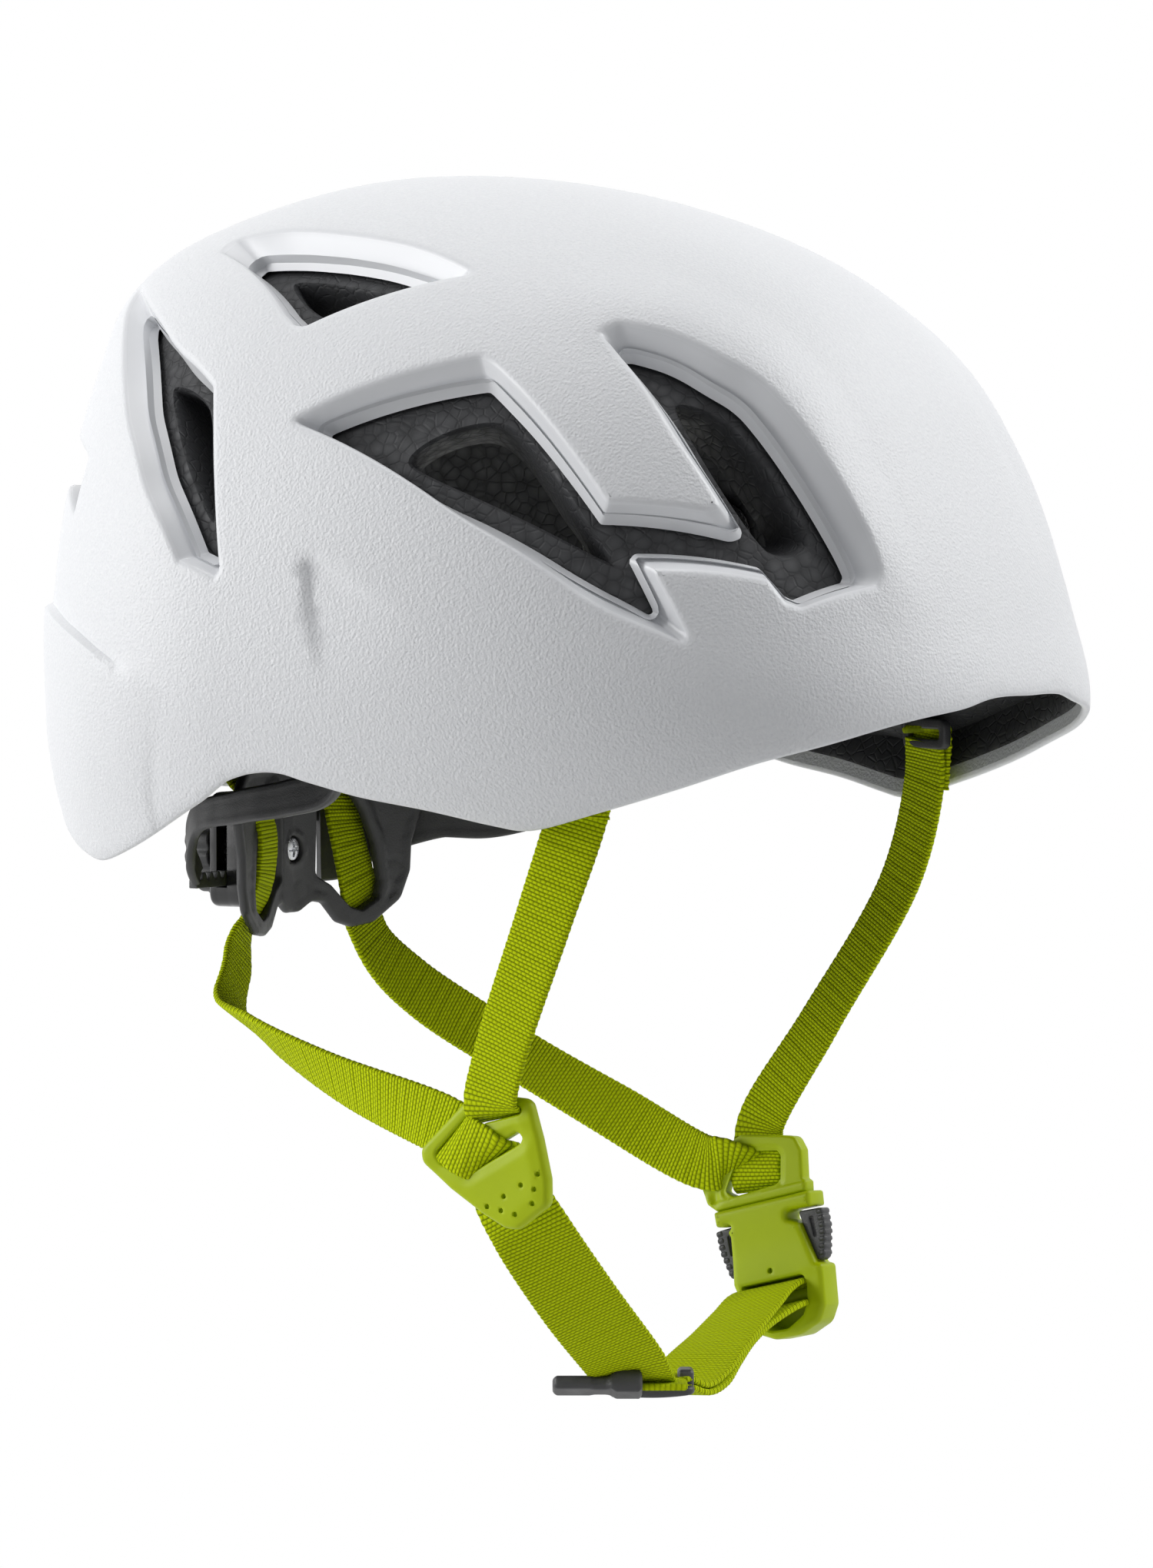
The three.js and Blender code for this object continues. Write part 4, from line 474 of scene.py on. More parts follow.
# Materials
class Nodes:
    """Shader nodes added to a tree; each input is a value or another node's output."""

    def __init__(self, tree):
        self.tree = tree

    def set(self, node, socket, value):
        target = node.inputs[socket]
        if hasattr(value, "is_output"):
            self.tree.links.new(value, target)
        else:
            target.default_value = value

    def node(self, kind, out=0, settings=None, **inputs):
        """Inputs go by name, or by number as i0, i1 and so on."""
        node = self.tree.nodes.new("ShaderNode" + kind)
        for key, value in (settings or {}).items():
            setattr(node, key, value)
        for key, value in inputs.items():
            numbered = key[0] == "i" and key[1:].isdigit()
            self.set(node, int(key[1:]) if numbered else key.replace("_", " "), value)
        return node.outputs[out] if len(node.outputs) else None

    def math(self, operation, a, b=0.0):
        return self.node("Math", settings={"operation": operation}, i0=a, i1=b)

    def seen_directly(self):
        """1 for rays from the camera, through glass or off metal, 0 for rays that light the object."""
        path = self.tree.nodes.new("ShaderNodeLightPath")
        seen = path.outputs["Is Camera Ray"]
        for ray in ("Is Glossy Ray", "Is Transmission Ray"):
            seen = self.math("MAXIMUM", seen, path.outputs[ray])
        return seen


class Finish(Nodes):
    """A procedural material on one principled shader."""

    def __init__(self, name, color, roughness, metallic=0.0, **sockets):
        self.material = bpy.data.materials.new(name)
        self.material.use_nodes = True
        super().__init__(self.material.node_tree)
        self.shader = self.tree.nodes["Principled BSDF"]
        self.use(Base_Color=(*color, 1), Roughness=roughness, Metallic=metallic, **sockets)

    def noise(self, scale, detail=2.0, roughness=0.5):
        return self.node("TexNoise", Vector=self.node("TexCoord", "Object"), Scale=scale,
                         Detail=detail, Roughness=roughness)

    def cells(self, scale, feature="F1"):
        return self.node("TexVoronoi", settings={"feature": feature},
                         Vector=self.node("TexCoord", "Object"), Scale=scale)

    def remap(self, value, low, high, to_low=0.0, to_high=1.0):
        return self.node("MapRange", i0=value, i1=low, i2=high, i3=to_low, i4=to_high)

    def mix(self, factor, a, b):
        node = self.tree.nodes.new("ShaderNodeMix")
        node.data_type = "RGBA"
        for socket, value in ((node.inputs[0], factor), (node.inputs[6], a), (node.inputs[7], b)):
            if hasattr(value, "is_output"):
                self.tree.links.new(value, socket)
            else:
                socket.default_value = (*value, 1) if isinstance(value, tuple) else value
        return node.outputs[2]

    def bump(self, height, distance, strength):
        return self.node("Bump", Height=height, Distance=distance * MM, Strength=strength)

    def use(self, **links):
        for key, value in links.items():
            self.set(self.shader, key.replace("_", " "), value)
        return self.material


def shell_finish():
    f = Finish("shell_abs", (0.8, 0.81, 0.825), 0.46, Specular_IOR_Level=0.45)
    gloss = f.node("Attribute", out=2, settings={"attribute_name": "bevel"})
    pebble = f.noise(1250, 2, 0.5)
    grain = f.cells(1500, "SMOOTH_F1")
    height = f.math("ADD", f.math("MULTIPLY", pebble, 0.7), f.math("MULTIPLY", grain, 0.5))
    rough_share = f.math("SUBTRACT", 1.0, gloss)
    relief = f.bump(f.math("MULTIPLY", height, rough_share), 0.3, 0.8)
    tone = f.remap(height, 0.35, 0.95, 0.0, 1.0)
    color = f.mix(f.math("MULTIPLY", tone, rough_share), (0.77, 0.78, 0.8), (0.84, 0.848, 0.86))
    return f.use(Base_Color=color, Roughness=f.remap(gloss, 0, 1, 0.5, 0.27), Normal=relief)


def foam_finish():
    f = Finish("liner_foam", (0.02, 0.021, 0.023), 0.7)
    beads = f.cells(330)
    edges = f.cells(330, "DISTANCE_TO_EDGE")
    height = f.math("ADD", f.math("MULTIPLY", f.remap(edges, 0.0, 0.12), 0.8),
                    f.math("MULTIPLY", f.noise(2200, 2), 0.15))
    color = f.mix(beads, (0.026, 0.027, 0.03), (0.012, 0.0125, 0.014))
    return f.use(Base_Color=color, Roughness=f.remap(beads, 0, 1, 0.5, 0.8),
                 Normal=f.bump(height, 0.22, 0.7))


def pad_finish():
    f = Finish("pad_fabric", (0.016, 0.016, 0.017), 0.95, Sheen_Weight=0.5, Sheen_Roughness=0.4)
    loops = f.cells(1400)
    height = f.math("ADD", loops, f.math("MULTIPLY", f.noise(300, 2), 0.6))
    color = f.mix(loops, (0.024, 0.024, 0.026), (0.009, 0.009, 0.01))
    return f.use(Base_Color=color, Normal=f.bump(height, 0.4, 0.8))


def webbing_finish(row=0.95, stitch=1.35):
    """Brick-like weave: rows of weft floats across the band; the UV map is in millimetres. Its colour
    holds painted shade in the gaps between rows and a painted highlight on the float tops.
    """
    f = Finish("webbing", (0.33, 0.45, 0.01), 0.8, Specular_IOR_Level=0.12)
    split = f.tree.nodes.new("ShaderNodeSeparateXYZ")
    f.set(split, "Vector", f.node("UVMap"))
    across, along = split.outputs[0], split.outputs[1]
    wobble = f.math("MULTIPLY", f.math("SUBTRACT", f.noise(180, 1), 0.5), 0.35)
    rows = f.math("DIVIDE", f.math("ADD", along, wobble), row)
    index = f.math("FLOOR", rows)
    row_bow = f.math("SINE", f.math("MULTIPLY", f.math("FRACT", rows), math.pi))
    shifted = f.math("ADD", f.math("DIVIDE", across, stitch), f.math("MULTIPLY", index, 0.5))
    float_bow = f.math("SINE", f.math("MULTIPLY", f.math("FRACT", shifted), math.pi))
    height = f.math("MULTIPLY", f.math("POWER", row_bow, 0.6),
                    f.math("ADD", 0.45, f.math("MULTIPLY", f.math("POWER", float_bow, 0.6), 0.55)))
    fibre = f.noise(2600, 2, 0.7)
    height = f.math("ADD", height, f.math("MULTIPLY", fibre, 0.12))
    # Painted shade: the green darkens down into the gaps between rows. Painted highlight: it lightens on
    # the float tops. The green itself and the weave pattern are the webbing's own.
    low = f.mix(f.remap(height, 0.15, 0.75), (0.15, 0.195, 0.0), (0.52, 0.64, 0.0))
    color = f.mix(f.remap(height, 0.8, 1.15), low, (0.7, 0.83, 0.004))
    return f.use(Base_Color=color, Normal=f.bump(height, 0.34, 0.9))


def plastic_finish(name, light, dark, roughness, grain=0.05, **sockets):
    f = Finish(name, light, roughness, **sockets)
    cloud = f.noise(60, 3)
    color = f.mix(f.remap(cloud, 0.3, 0.7), light, dark)
    fine = f.noise(2400, 2, 0.6)
    rough = f.remap(f.noise(180, 2), 0.3, 0.7, roughness - 0.05, roughness + 0.05)
    return f.use(Base_Color=color, Roughness=rough, Normal=f.bump(fine, grain, 0.6))


def steel_finish():
    f = Finish("steel", (0.6, 0.61, 0.63), 0.28, 1.0)
    brushed = f.noise(1500, 2)
    return f.use(Roughness=f.remap(brushed, 0.3, 0.7, 0.2, 0.36), Normal=f.bump(brushed, 0.02, 0.4))


FINISHES = {
    "shell_abs": shell_finish(),
    "foam": foam_finish(),
    "pad_fabric": pad_finish(),
    "webbing": webbing_finish(),
    "green_plastic": plastic_finish("green_plastic", (0.45, 0.57, 0.0), (0.42, 0.535, 0.0), 0.42,
                                    0.035, Specular_IOR_Level=0.25),
    "black_plastic": plastic_finish("black_plastic", (0.042, 0.0425, 0.044),
                                    (0.034, 0.0345, 0.036), 0.46, 0.14),
    "black_gloss": plastic_finish("black_gloss", (0.008, 0.008, 0.009), (0.01, 0.01, 0.011), 0.14,
                                  0.01, Coat_Weight=0.3, Coat_Roughness=0.08),
    "steel": steel_finish(),
}


# Shell: its relief in millimetres, at flat points
def line_distance(flat, line):
    """Distance to a line, the side it is on, and the place along it from 0 to 1."""
    best = np.full(len(flat), 1e9)
    sign = np.ones(len(flat))
    place = np.zeros(len(flat))
    lengths = np.linalg.norm(np.diff(line, axis=0), axis=1)
    total, run = lengths.sum(), 0.0
    for a, b, length in zip(line[:-1], line[1:], lengths):
        d = b - a
        t = np.clip(((flat - a) @ d) / (length * length), 0, 1)
        off = flat - (a + t[:, None] * d)
        gap = np.hypot(off[:, 0], off[:, 1])
        near = gap < best
        best = np.where(near, gap, best)
        side = np.sign(d[0] * (flat[:, 1] - a[1]) - d[1] * (flat[:, 0] - a[0]))
        sign = np.where(near, side, sign)
        place = np.where(near, (run + t * length) / total, place)
        run += length
    return best, sign, place


def ease(value, low, high):
    t = np.clip((value - low) / (high - low), 0, 1)
    return t * t * (3 - 2 * t)


def relief(flat):
    """Ridge over the side vents, ledge round the nape and sunk fin, on both sides."""
    rise = np.zeros(len(flat))
    for side in (1, -1):
        points = flat * (side, 1)
        gap, _, place = line_distance(points, smooth(flat_rows(RIDGE), 3, closed=False))
        crest = np.clip(1 - np.sqrt(gap**2 + 9) / RIDGE_REACH, 0, 1)
        fade = ease(place, 0.0, 0.2) * (1 - ease(place, 0.55, 0.92))
        rise += np.where(gap < 24, RIDGE_HEIGHT * crest * fade, 0)
        gap, sign, place = line_distance(points, smooth(flat_rows(LEDGE), 3, closed=False))
        own_half = points[:, 0] <= 0 if side == 1 else points[:, 0] < 0
        below = ease(-sign * gap, -0.8, 0.8) * (1 - ease(place, 0.7, 1.0))
        rise += np.where(own_half, LEDGE_HEIGHT * below * (1 - ease(gap, *LEDGE_FADE)), 0)
        within = np.ones(len(points))
        for line in (flat_rows(CREASE_DOWN), flat_rows(CREASE_FORE)):
            gap, sign, _ = line_distance(points, line)
            inner_side = line_distance(flat_rows([FIN_MIDDLE]), line)[1][0]
            within *= ease(sign * gap * inner_side, -0.45, 0.45)
        apex = np.linalg.norm(points - flat_rows(CREASE_DOWN)[0], axis=1)
        rise += FIN_HEIGHT * within * (1 - ease(apex, *FIN_FADE))
    return rise


def crease_strips():
    """Narrow closed loops along the creases, so that the mesh has edges there."""
    lines = [np.vstack([flat_rows(LEDGE[1:-2], -1)[::-1], flat_rows(LEDGE[:-2])])]
    lines += [flat_rows(rows, side) for rows in (CREASE_DOWN, CREASE_FORE[:-1]) for side in (1, -1)]
    loops = []
    for line in lines:
        line = smooth(line, 1.6, closed=False)
        along = np.gradient(line, axis=0)
        normal = np.column_stack([-along[:, 1], along[:, 0]])
        shift = (normal / np.linalg.norm(along, axis=1)[:, None])[1:] * 0.5
        loops.append(np.vstack([line[1:] + shift, (line[1:] - shift)[::-1]]))
    return loops


def rim_loop(rows, step):
    """The closed loop of one side's rim and its mirror image."""
    return turned_left(smooth(np.vstack([flat_rows(rows), flat_rows(rows[1:-1], -1)[::-1]]), step))


STRAIGHT = -0.85  # below this cosine an outline's point is a bend, not a corner
WIDE_ROUND, CORNER_ROUND = 70, 1.6


def vent_pairs(rows, side, step=1.8):
    """Mouth and throat of a vent, point for point."""
    both = np.hstack([flat_rows(rows, side), flat_rows(rows, side, 2)])
    before, after = np.roll(both, 1, 0) - both, np.roll(both, -1, 0) - both
    turn = np.sum(before * after, 1)
    turn /= np.linalg.norm(before, axis=1) * np.linalg.norm(after, axis=1)
    pair = turned_left(rounded(both, np.where(turn < STRAIGHT, WIDE_ROUND, CORNER_ROUND), step))
    return pair[:, :2], pair[:, 2:]


MOUTH_RUN_OUT = 1.7
BEVEL = [  # share from mouth to throat, outward offset, depth
    (0, 0.9, -0.07), (0, 0.3, -0.3), (0.04, 0, -0.75), (0.16, 0, -1.6), (0.34, 0, -2.8),
    (0.54, 0, -4.1), (0.74, 0, -5.3), (0.9, 0, -6.3), (1, 0, -6.9), (1, 0.9, -7.2), (1, 1.8, -6.9),
    (1, 1.8, -3.2),
]
LIP = [(1.1, 0.35), (1.35, 1.1), (1.1, 1.85), (0.3, 2.2)]


def build_shell():
    rim = rim_loop(RIM, 2.4)
    pairs = [vent_pairs(rows, side) for rows in VENTS for side in (1, -1)]
    holes = [grow(mouth, MOUTH_RUN_OUT) for mouth, _ in pairs]
    flat, tris, sizes = fill(rim, holes, 3.2, crease_strips())
    b = Builder()
    front = b.add(wrap(flat, relief(flat)))
    b.tris(tris)
    masks = [np.zeros(len(flat))]
    start = sizes[0]
    for (mouth, throat), size in zip(pairs, sizes[1:]):
        previous = front[start:start + size]
        start += size
        for number, (share, offset, depth) in enumerate(BEVEL):
            ring = mouth + (throat - mouth) * share
            if offset:
                ring = ring + outward(mouth if share == 0 else throat) * offset
            lift = relief(ring) * (1 - ease(np.full(len(ring), share), 0, 1))
            current = b.add(wrap(ring, depth + lift))
            masks.append(np.full(len(ring), min(1.0, 0.45 + number * 0.3)))
            b.strip(previous, current, flip=True)
            previous = current
    previous = front[:sizes[0]]
    out = outward(rim)
    for offset, depth in LIP:
        current = b.add(wrap(rim + out * (offset - 0.3), relief(rim) - depth))
        masks.append(np.full(len(rim), 0.3))
        b.strip(previous, current, flip=False)
        previous = current
    high = np.hypot(flat[:, 0], flat[:, 1]) / PER_DEGREE > 78
    under = b.add(wrap(flat, -SKIN))
    masks.append(np.zeros(len(flat)))
    b.tris(under[tris[high[tris].all(axis=1)]][:, ::-1])
    b.strip(previous, under[:sizes[0]], flip=False)
    return make("helmet_shell", b.points, b.faces, "shell_abs", "helmet", ["outer_shell"],
                sharp=50, masks={"bevel": np.concatenate(masks)})


def build_liner():
    shares, lifts = zip(*LINER_LIFT)
    rim = rim_loop([(share, rise + np.interp(share, shares, lifts)) for share, rise in RIM], 3)
    top = -SKIN - LINER_GAP
    floor = -FLANGE - LINER_GAP
    holes, pockets = [], []
    for side in (1, -1):
        for rows in WINDOWS:
            holes.append(turned_left(smooth(flat_rows(rows, side), 2.2)))
        for rows in VENTS:
            mouth, throat = vent_pairs(rows, side, 3)
            pockets.append(grow(throat, 6.5))
            pockets.append(grow(mouth + (throat - mouth) * 0.3, 1.0))
    flat, tris, sizes = fill(rim, holes, 4)
    depth = np.full(len(flat), top - 0.4)
    for pocket in pockets:
        depth[inside(flat, pocket)] = floor - 0.2
    b = Builder()
    front = b.add(wrap(flat, depth))
    b.tris(tris)
    below = b.add(wrap(flat, top - LINER_WALL))
    b.tris(below[tris][:, ::-1])
    start = 0
    for size in sizes:
        ring, last = front[start:start + size], below[start:start + size]
        loop = flat[start:start + size]
        sign = 1 if start == 0 else -1
        upper, lower = depth[start:start + size], np.full(size, top - LINER_WALL)
        for share, swell in ((0.06, 0.8), (0.5, 0.9), (0.94, 0.8)):
            middle = b.add(wrap(loop + outward(loop) * swell * sign, upper + (lower - upper) * share))
            b.strip(ring, middle, flip=start > 0)
            ring = middle
        b.strip(ring, last, flip=start > 0)
        start += size
    return make("liner", b.points, b.faces, "foam", "helmet", ["foam_liner"], sharp=45)


LINING = [  # share above the rim, depth under the skin
    (0.022, 0.5), (0.02, 1.0), (0.024, 1.5), (0.05, 1.6), (0.085, 1.6), (0.115, 1.6),
    (0.115, 0.5), (0.07, 0.4),
]


def build_lining():
    """The thin black lining that follows the inside of the shell just above its rim."""
    rim = rim_loop(RIM, 3)
    reach = np.hypot(rim[:, 0], rim[:, 1])[:, None]
    b = Builder()
    rings = [b.add(wrap(rim * (1 - lift * 90 * PER_DEGREE / reach), -SKIN - depth))
             for lift, depth in LINING]
    for a, c in zip(rings, rings[1:] + rings[:1]):
        b.strip(a, c)
    return make("rim_lining", b.points, b.faces, "foam", "helmet", sharp=45)


build_shell()
build_liner()
build_lining()


# Pads
def cushion(name, node, place, columns, rows):
    """A crowned pad: place(u, v, depth) lays it on the liner."""
    u, v = np.meshgrid(np.linspace(-1, 1, columns), np.linspace(-1, 1, rows))
    power = 5
    radius = np.maximum((np.abs(u) ** power + np.abs(v) ** power) ** (1 / power), 1e-6)
    square = np.maximum(np.abs(u), np.abs(v))
    su, sv = u * square / radius, v * square / radius
    edge = np.clip(square, 0, 1)
    crown = np.sqrt(np.clip(1 - edge**4, 0, 1))
    dimple = 0.16 * np.exp(-((np.abs(v) - 0.45) / 0.1) ** 2) * (1 - edge**6)
    full = PAD_THICKNESS * (0.28 + 0.72 * crown) - PAD_THICKNESS * dimple
    b = Builder()
    top = b.add(place(su.ravel(), sv.ravel(), full.ravel())).reshape(rows, columns)
    base = b.add(place(su.ravel() * 0.985, sv.ravel() * 0.985, np.zeros(u.size)))
    base = base.reshape(rows, columns)
    for r in range(rows - 1):
        for c in range(columns - 1):
            quad = ((r, c), (r, c + 1), (r + 1, c + 1), (r + 1, c))
            b.cap(top[at] for at in quad)
            b.cap((base[at] for at in quad), flip=True)
    ring = lambda g: np.concatenate([g[0, :-1], g[:-1, -1], g[-1, :0:-1], g[:0:-1, 0]])
    b.strip(ring(base), ring(top))
    piece = make(name, b.points, b.faces, "pad_fabric", "helmet", [node], sharp=None)
    return piece


PAD_SEAT = -SKIN - LINER_GAP - LINER_WALL - PAD_GAP


def patch(limits, side):
    def place(u, v, height):
        bearing = limits[0] + (limits[1] - limits[0]) * (u + 1) / 2
        rise = limits[2] + (limits[3] - limits[2]) * (v + 1) / 2
        rows = np.column_stack([bearing, rise])
        return wrap(flat_rows(rows, side), PAD_SEAT - height)
    return place


def crown_patch(u, v, height):
    flat = np.column_stack([u, v]) * CROWN_PAD_REACH * 0.93
    return wrap(flat, PAD_SEAT - height)


cushion("brow_cushion", "brow_pad", patch(BROW_PAD, 1), 81, 21)
cushion("crown_cushion", "crown_pad", crown_patch, 33, 33)
cushion("side_cushion_right", "side_pad_right", patch(SIDE_PAD, 1), 33, 21)
cushion("side_cushion_left", "side_pad_left", patch(SIDE_PAD, -1), 33, 21)


# Webbing: its widths and its thickness
SIDE_WIDTH = 15
CHIN_WIDTH = 20
WEB = 1.6


def route_frames(stations, widths, step):
    """Centres, across and outward directions at even steps along a route."""
    centre = smooth(stations, 0, closed=False)
    across = smooth(widths, 0, closed=False, centripetal=False)
    run = np.concatenate([[0], np.cumsum(np.linalg.norm(np.diff(centre, axis=0), axis=1))])
    even = np.linspace(0, run[-1], max(8, round(run[-1] / step)))
    centre = np.column_stack([np.interp(even, run, centre[:, k]) for k in range(3)])
    across = np.column_stack([np.interp(even, run, across[:, k]) for k in range(3)])
    along = np.gradient(centre, axis=0)
    along /= np.linalg.norm(along, axis=1)[:, None]
    across -= along * np.sum(across * along, axis=1)[:, None]
    across /= np.linalg.norm(across, axis=1)[:, None]
    return centre, across, np.cross(along, across), even


def band_section(width, thickness, columns=9, edge=0.62):
    w, n = width / 2, thickness / 2
    xs = np.linspace(-w + edge, w - edge, columns)
    top = [(x, n) for x in xs[::-1]]
    low = [(x, -n) for x in xs]
    turn = np.radians([-60, -25, 25, 60])
    right = [(w - edge + edge * math.cos(a), n * math.sin(a)) for a in turn]
    left = [(-x, -y) for x, y in right]
    return np.array(low + right + top + left)


def weave(stations, widths, width, pucker=0.09, wobble=0.1, above=None, below=None):
    """A band along a route; above or below keeps the length that side of a height it crosses."""
    centre, across, out, run = route_frames(stations, widths, 0.48)
    if above is not None or below is not None:
        cut = int(np.argmax(centre[:, 2] < (above if above is not None else below)))
        kept = slice(cut, None) if above is not None else slice(None, cut + 1)
        centre, across, out, run = centre[kept], across[kept], out[kept], run[kept]
    section = band_section(width, WEB)
    b = Builder()
    uv = []
    wave = np.sin(run * 2 * math.pi / 3.1) + 0.6 * np.sin(run * 2 * math.pi / 4.7 + 1)
    for i in range(len(centre)):
        w = section[:, 0].copy()
        edge = np.abs(w) > width / 2 - 0.7
        w[edge] += np.sign(w[edge]) * wobble * math.sin(run[i] * 2 * math.pi / 1.9)
        n = section[:, 1] + pucker * wave[i] * (1 - (np.abs(w) / (width / 2)) ** 6)
        b.add(centre[i] + np.outer(w, across[i]) + np.outer(n, out[i]))
        uv.append(np.column_stack([section[:, 0], np.full(len(section), run[i])]))
    b.tube(len(section))
    return b.points, b.faces, np.vstack(uv)


def mirror(points):
    return [(-x, y, z) for x, y, z in points]


def strap(name, node, stations, widths, width=SIDE_WIDTH, body="helmet", **options):
    points, faces, uv = weave(stations, widths, width, **options)
    nodes = [node] if node else []
    return make(name, points, faces, "webbing", body, nodes, sharp=None, uv=uv)


# Strap divider on the right cheek: local x rearward, y up, z away from the cheek
DIVIDER_SEAT = np.array([-82.36, -75.99, -117.2])
DIVIDER = [
    (4.0, 0.9), (16.6, 1.6), (21.8, -1.0), (34.2, -12.8), (33.6, -16.2), (25.4, -22.2),
    (16.2, -27.7), (9.8, -30.8), (6.0, -31.0), (-2.7, -24.6), (-2.6, -18.2), (-0.3, -8.6),
    (2.4, 0.0),
]
DIVIDER_WINDOW = [
    (5.0, -1.3), (20.2, -3.6), (29.9, -13.6), (28.0, -16.2), (20.9, -18.7), (5.2, -9.9),
    (4.5, -8.5), (5.9, -7.1), (12.6, -11.0), (15.4, -8.8), (15.8, -5.6), (5.2, -2.7),
]
DIVIDER_DOTS = [
    (-0.1, -17.0), (4.6, -19.9), (0.8, -20.7), (9.5, -22.9), (1.4, -24.2), (14.4, -25.7),
    (10.3, -26.4), (6.3, -27.1),
]


def on_divider(p):
    p = np.asarray(p, float)
    return DIVIDER_SEAT + np.column_stack([-p[:, 2], p[:, 0], p[:, 1]])


def line_gap(flat, loop):
    """Distance from flat points to an outline."""
    return line_distance(flat, np.vstack([loop, loop[:1]]))[0]


def build_divider():
    outline = rounded(DIVIDER, 3.2)
    window = rounded(DIVIDER_WINDOW, [0.8, 1.6, 1.8, 1.4, 1.2, 1.2, 0.9, 0.9, 1.5, 1.2, 1, 0.8], 0.5)

    def pillow(flat):
        rim = ease(line_gap(flat, outline), 0.4, 4.5)
        hollow = 0.5 * (1 - ease(line_gap(flat, window), 0.2, 3.4))
        middle = ((flat - (12, -19)) / (15, 9)) ** 2
        return 0.7 * rim - hollow - 0.35 * np.exp(-middle.sum(1)) * rim

    pits = [(circle(x, y, 0.62, 14), 1.0, 0.22) for x, y in DIVIDER_DOTS]
    points, faces = plate(outline, [window], -2.1, 1.7, edge=1.5, hole_edge=0.9, step=0.7,
                          top=pillow, pits=pits, arcs=5)
    make("divider_plate", on_divider(points), faces, "green_plastic", "helmet",
         ["strap_divider_right"])


# Side-release buckle: local x through it and towards the cheek, y rearward, z up
BUCKLE_SEAM = np.array([76.03, -43.96, -157.96])
BUCKLE_TURN = turn_about("Y", 4.5) @ turn_about("X", -15)
BUCKLE_MIDDLE = -2.8
FRAME = [
    (-13.1, -0.38), (-13.5, 2.2), (-12.5, 3.2), (-13.7, 10.6), (-12.4, 14.4), (-9.0, 15.4),
    (3.6, 18.2), (8.2, 16.6), (19.2, 10.9), (17.6, 2.2), (14.8, -0.38),
]
FRAME_WINDOW = [
    (3.9, 13.8), (-6.2, 11.9), (-7.0, 10.6), (-5.6, 4.4), (-4.2, 3.3), (8.9, 2.6), (11.8, 4.4),
    (8.4, 9.4),
]
HOUSING = [
    (15.1, -0.42), (15.1, -4.4), (12.8, -4.9), (11.0, -4.5), (10.6, -5.4), (11.9, -6.4),
    (11.4, -8.0), (12.4, -16.0), (13.1, -20.4), (12.2, -24.0), (8.6, -34.4), (3.6, -36.8),
    (-4.4, -37.0), (-10.6, -34.8), (-13.2, -30.6), (-14.4, -20.0), (-12.6, -19.2), (-9.7, -8.2),
    (-8.2, -7.4), (-6.4, -6.6), (-6.6, -4.7), (-8.2, -4.4), (-14.4, -4.6), (-14.8, -0.42),
]
POCKET = [
    (10.6, -21.4), (-8.4, -21.6), (-9.0, -24.0), (-8.2, -29.0), (-6.2, -32.0), (-1.0, -34.6),
    (4.0, -34.4), (7.0, -32.2),
]
BUTTON = [
    (9.2, -5.0), (15.6, -5.3), (16.4, -6.2), (16.3, -10.5), (14.6, -18.2), (13.2, -18.9),
    (12.2, -18.4), (10.0, -9.6),
]
BUTTON_SLOT = [(12.1, -7.0), (13.3, -7.2), (13.3, -12.6), (12.5, -12.4)]
BAR_Z = -26.6


def on_buckle(p):
    """From across, up and away from the cheek to the brim frame."""
    p = np.asarray(p, float)
    local = np.column_stack([-p[:, 2], p[:, 0] + BUCKLE_MIDDLE, p[:, 1]])
    return local @ BUCKLE_TURN.T + BUCKLE_SEAM


def rod(start, end, radius, count=20):
    """A round bar between two local points."""
    start, end = np.asarray(start, float), np.asarray(end, float)
    along = (end - start) / np.linalg.norm(end - start)
    side = np.cross(along, (0.3, 0.5, 0.8))
    side /= np.linalg.norm(side)
    other = np.cross(along, side)
    angle = np.arange(count) * 2 * math.pi / count
    ring = np.outer(np.cos(angle), side) + np.outer(np.sin(angle), other)
    b = Builder()
    bevel = min(radius * 0.2, 0.4)
    total = np.linalg.norm(end - start)
    rows = [(0, radius - bevel), (bevel, radius), (total - bevel, radius), (total, radius - bevel)]
    for d, r in rows:
        b.add(start + along * d + ring * r)
    b.tube(count)
    return np.vstack(b.points), b.faces


